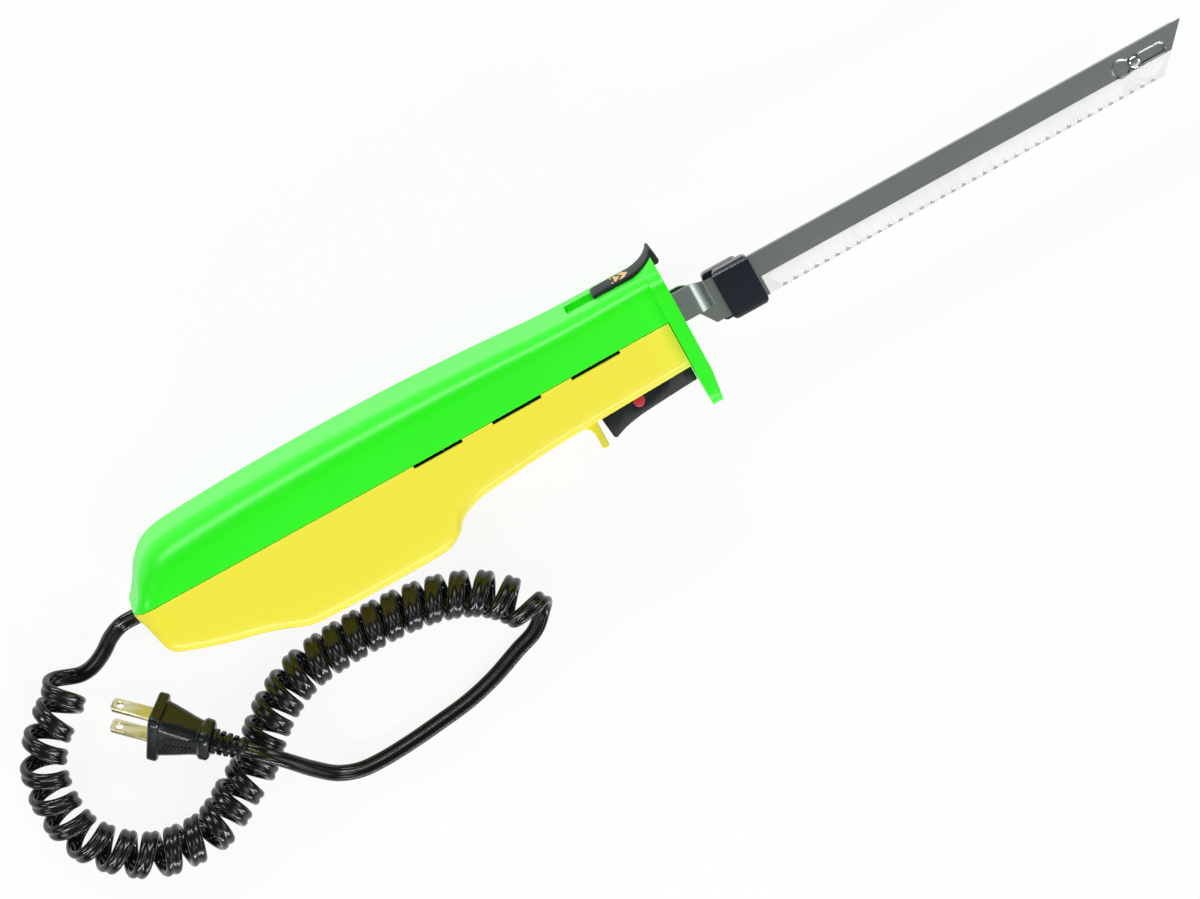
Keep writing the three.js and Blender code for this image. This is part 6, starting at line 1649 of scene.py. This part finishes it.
@dataclass
class ThumbSlide:
    """The thumb slide that frees the blades: a ribbed deck with a lip that curls up over the guard."""

    guard_back: float = 237.5
    back: float = 19.5
    rear: float = 216.5
    half_width: float = 7.5
    stand: float = 1.7
    sink: float = 2.0
    lip_height: float = 7.0
    lip_reach: float = 8.6
    leg_rear: float = 217.0
    leg_length: float = 5.0
    leg_bottom: float = 11.2
    mark_x: float = 229.6

    def outline(self) -> list[tuple[float, float]]:
        """The slide seen from the side."""
        back, deck = self.back, self.back + self.stand
        front = self.guard_back + self.lip_reach
        foot = self.guard_back - 4
        low = back - self.sink
        crest, top = (front - 0.8, back + self.lip_height - 0.6), (front - 1.8, back + self.lip_height)
        return [
            (self.rear, low),
            (self.guard_back - 1.3, low),
            (self.guard_back - 1.3, back + 0.3),
            (front - 0.8, back + 0.3),
            (front, back + 1.4),
            crest,
            *lean(crest, (front - 1, back + self.lip_height), top, 5),
            *lean(top, (front - 4, deck + 0.9), (foot, deck), 14),
            (self.rear + 1, deck),
            (self.rear, deck - 0.8),
        ]

    def ridges(self) -> bpy.types.Object:
        """Low ridges across the rear of the deck, for the thumb."""
        half = self.half_width - 1.2
        deck = self.back + self.stand
        ring = [(-0.45, -0.3), (0.45, -0.3), (0.3, 0.22), (-0.3, 0.22)]
        form = loft("ridge", [[(x, deck + y, z) for x, y in ring] for z in (-half, half)])
        start, step = Vector((self.rear + 2.6, 0, 0)) * MM, Vector((1.5, 0, 0)) * MM
        return Repeat("slide_ridges", 6, start, step, GRAINED_ABS).build(form)

    def marks(self) -> bpy.types.Object:
        """Two foil-stamped arrowheads on the deck that point to the blades."""
        deck = self.back + self.stand
        stroke = ((0.0, -0.1), (2.4, -0.1), (2.4, 0.06), (0.0, 0.06))
        rings = []
        for z in (-6.0, -3.0, 0.0, 3.0, 6.0):
            ahead = 2.2 * (1 - abs(z) / 6)
            rings.append([(x + ahead, deck + y, z) for x, y in stroke])
        start, step = Vector((self.mark_x - 4.6, 0, 0)) * MM, Vector((3.6, 0, 0)) * MM
        return Repeat("slide_arrows", 2, start, step, GOLD_PRINT).build(loft("arrow", rings))

    def build(self) -> None:
        """Make the slide with its ridges and its marks."""
        body = soften(plate("slide", self.outline(), -self.half_width, self.half_width), 0.5, 3, 40)
        low = (self.leg_rear, self.leg_bottom, -1.8)
        leg = block("leg", low, (self.leg_rear + self.leg_length, self.back - self.sink + 0.5, 1.8))
        for part in (body, leg):
            coat(part, GRAINED_ABS)
        slide = merge("release_slide_moulded", [body, leg, self.ridges()])
        seat(slide, Body.RELEASE, GRAINED_ABS, ("release_slider",))
        seat(self.marks(), Body.RELEASE, GOLD_PRINT)


# Stage


@dataclass
class Studio:
    """A white table under soft light, and a long lens over the near side of the handle."""

    aim: tuple[float, float, float] = (0.1022, -0.0216, 0.026)
    tilt: float = 12.0  # degrees from straight down, towards the knife's back
    turn: float = 28.9  # degrees that the knife's axis rises in the picture
    view_width: float = 0.4706
    lens: float = 300.0

    def camera(self) -> None:
        """Put the camera where the photograph was taken from."""
        data = bpy.data.cameras.new("camera")
        data.lens = self.lens
        data.sensor_width = 36.0
        data.clip_end = 20.0
        lens_eye = bpy.data.objects.new("camera", data)
        bpy.context.scene.collection.objects.link(lens_eye)
        tilt, turn = math.radians(self.tilt), math.radians(self.turn)
        back = Vector((0, math.sin(tilt), math.cos(tilt)))
        level = Vector((0, math.cos(tilt), -math.sin(tilt)))
        ahead = Vector((1, 0, 0))
        right = ahead * math.cos(turn) - level * math.sin(turn)
        up = ahead * math.sin(turn) + level * math.cos(turn)
        distance = self.view_width / data.sensor_width * self.lens
        lens_eye.matrix_world = Matrix.Translation(Vector(self.aim) + back * distance) @ Matrix(
            (right, up, back)
        ).transposed().to_4x4()
        bpy.context.scene.camera = lens_eye

    def floor(self) -> None:
        """The white table top, which shows white to the eye and still takes the shadow."""
        size = 3.0
        mesh = bpy.data.meshes.new("table_top")
        corners = [(-size, -size, 0), (size, -size, 0), (size, size, 0), (-size, size, 0)]
        mesh.from_pydata(corners, [], [(0, 1, 2, 3)])
        table = bpy.data.objects.new("table_top", mesh)
        table.location.z = -0.0002
        bpy.context.scene.collection.objects.link(table)
        material = bpy.data.materials.new("paper_white")
        material.use_nodes = True
        tree = material.node_tree
        tree.nodes.clear()
        paper = add(tree, "ShaderNodeBsdfDiffuse", {"Color": linear("#F2F2F2")})
        white = add(tree, "ShaderNodeEmission", {"Color": linear("#FFFFFF"), "Strength": 1.0})
        ray = add(tree, "ShaderNodeLightPath").outputs
        eye, mirror, glass = ray["Is Camera Ray"], ray["Is Glossy Ray"], ray["Is Transmission Ray"]
        seen = add(tree, "ShaderNodeMath", {0: eye, 1: mirror}, operation="MAXIMUM").outputs[0]
        seen = add(tree, "ShaderNodeMath", {0: seen, 1: glass}, operation="MAXIMUM").outputs[0]
        share = add(tree, "ShaderNodeMath", {0: seen, 1: 0.9}, operation="MULTIPLY").outputs[0]
        mix = add(tree, "ShaderNodeMixShader", {0: share, 1: paper.outputs[0], 2: white.outputs[0]})
        add(tree, "ShaderNodeOutputMaterial", {"Surface": mix.outputs[0]})
        mesh.materials.append(material)

    def lamp(self, name: str, at: Point, size: tuple[float, float], power: float, target: Point) -> None:
        """Hang one soft box.

        Args:
            name: Its name.
            at: Where it hangs, in metres.
            size: Its two sides.
            power: Its power in watts.
            target: What it points at.
        """
        data = bpy.data.lights.new(name, "AREA")
        data.shape = "RECTANGLE"
        data.size, data.size_y = size
        data.energy = power
        lamp = bpy.data.objects.new(name, data)
        lamp.location = at
        lamp.rotation_mode = "QUATERNION"
        lamp.rotation_quaternion = (Vector(target) - Vector(at)).to_track_quat("-Z", "Y")
        bpy.context.scene.collection.objects.link(lamp)

    def light(self) -> None:
        """Long strips beside the knife for its edges, dim panels above for the steel, and a grey room."""
        world = bpy.data.worlds.new("studio")
        world.use_nodes = True
        world.node_tree.nodes["Background"].inputs["Color"].default_value = linear("#FFFFFF")
        world.node_tree.nodes["Background"].inputs["Strength"].default_value = 0.12
        bpy.context.scene.world = world
        aim = (0.1, 0.0, 0.02)
        self.lamp("strip_back", (0.15, 1.3, 0.75), (1.6, 0.1), 16.5, aim)
        self.lamp("strip_belly", (-0.3, -1.2, 0.6), (1.6, 0.08), 15, aim)
        self.lamp("panel_flats", (0.42, -0.33, 1.6), (1.4, 0.5), 0.32, (0.42, 0, 0))
        self.lamp("panel_bevels", (0.3, -0.85, 1.55), (1.4, 0.5), 3.5, (0.3, 0, 0))
        self.lamp("panel_front", (1.2, -0.28, 1.05), (0.6, 0.7), 4.7, aim)
        self.lamp("panel_rear", (-1.1, 0.2, 0.9), (0.3, 0.6), 4, aim)

    def build(self) -> None:
        """Set up the camera, the table and the light."""
        bpy.context.scene.view_settings.view_transform = "Standard"
        self.camera()
        self.floor()
        self.light()


def dress_inner_pieces() -> None:
    """Give each solid that stays its finish."""
    for name, finish in INNER_FINISHES.items():
        coat(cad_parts[name], finish)
        LOG.info("%s: %s", name, finish.name)


def write_sizes() -> None:
    """Bring the view layer up to date."""
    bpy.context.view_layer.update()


def main() -> None:
    """Build the scene: camera and cord first, then the pieces from the plug to the blade tips."""
    logging.basicConfig(level=logging.INFO, format="%(name)s %(message)s")
    Studio().build()
    plug = Plug()
    cord = Cord(plug=plug)
    flex = cord.build()
    plug.build()
    Handle().build()
    Trigger().build()
    ThumbSlide().build()
    Blades().build()
    dress_inner_pieces()
    write_sizes()


if __name__ == "__main__":
    main()
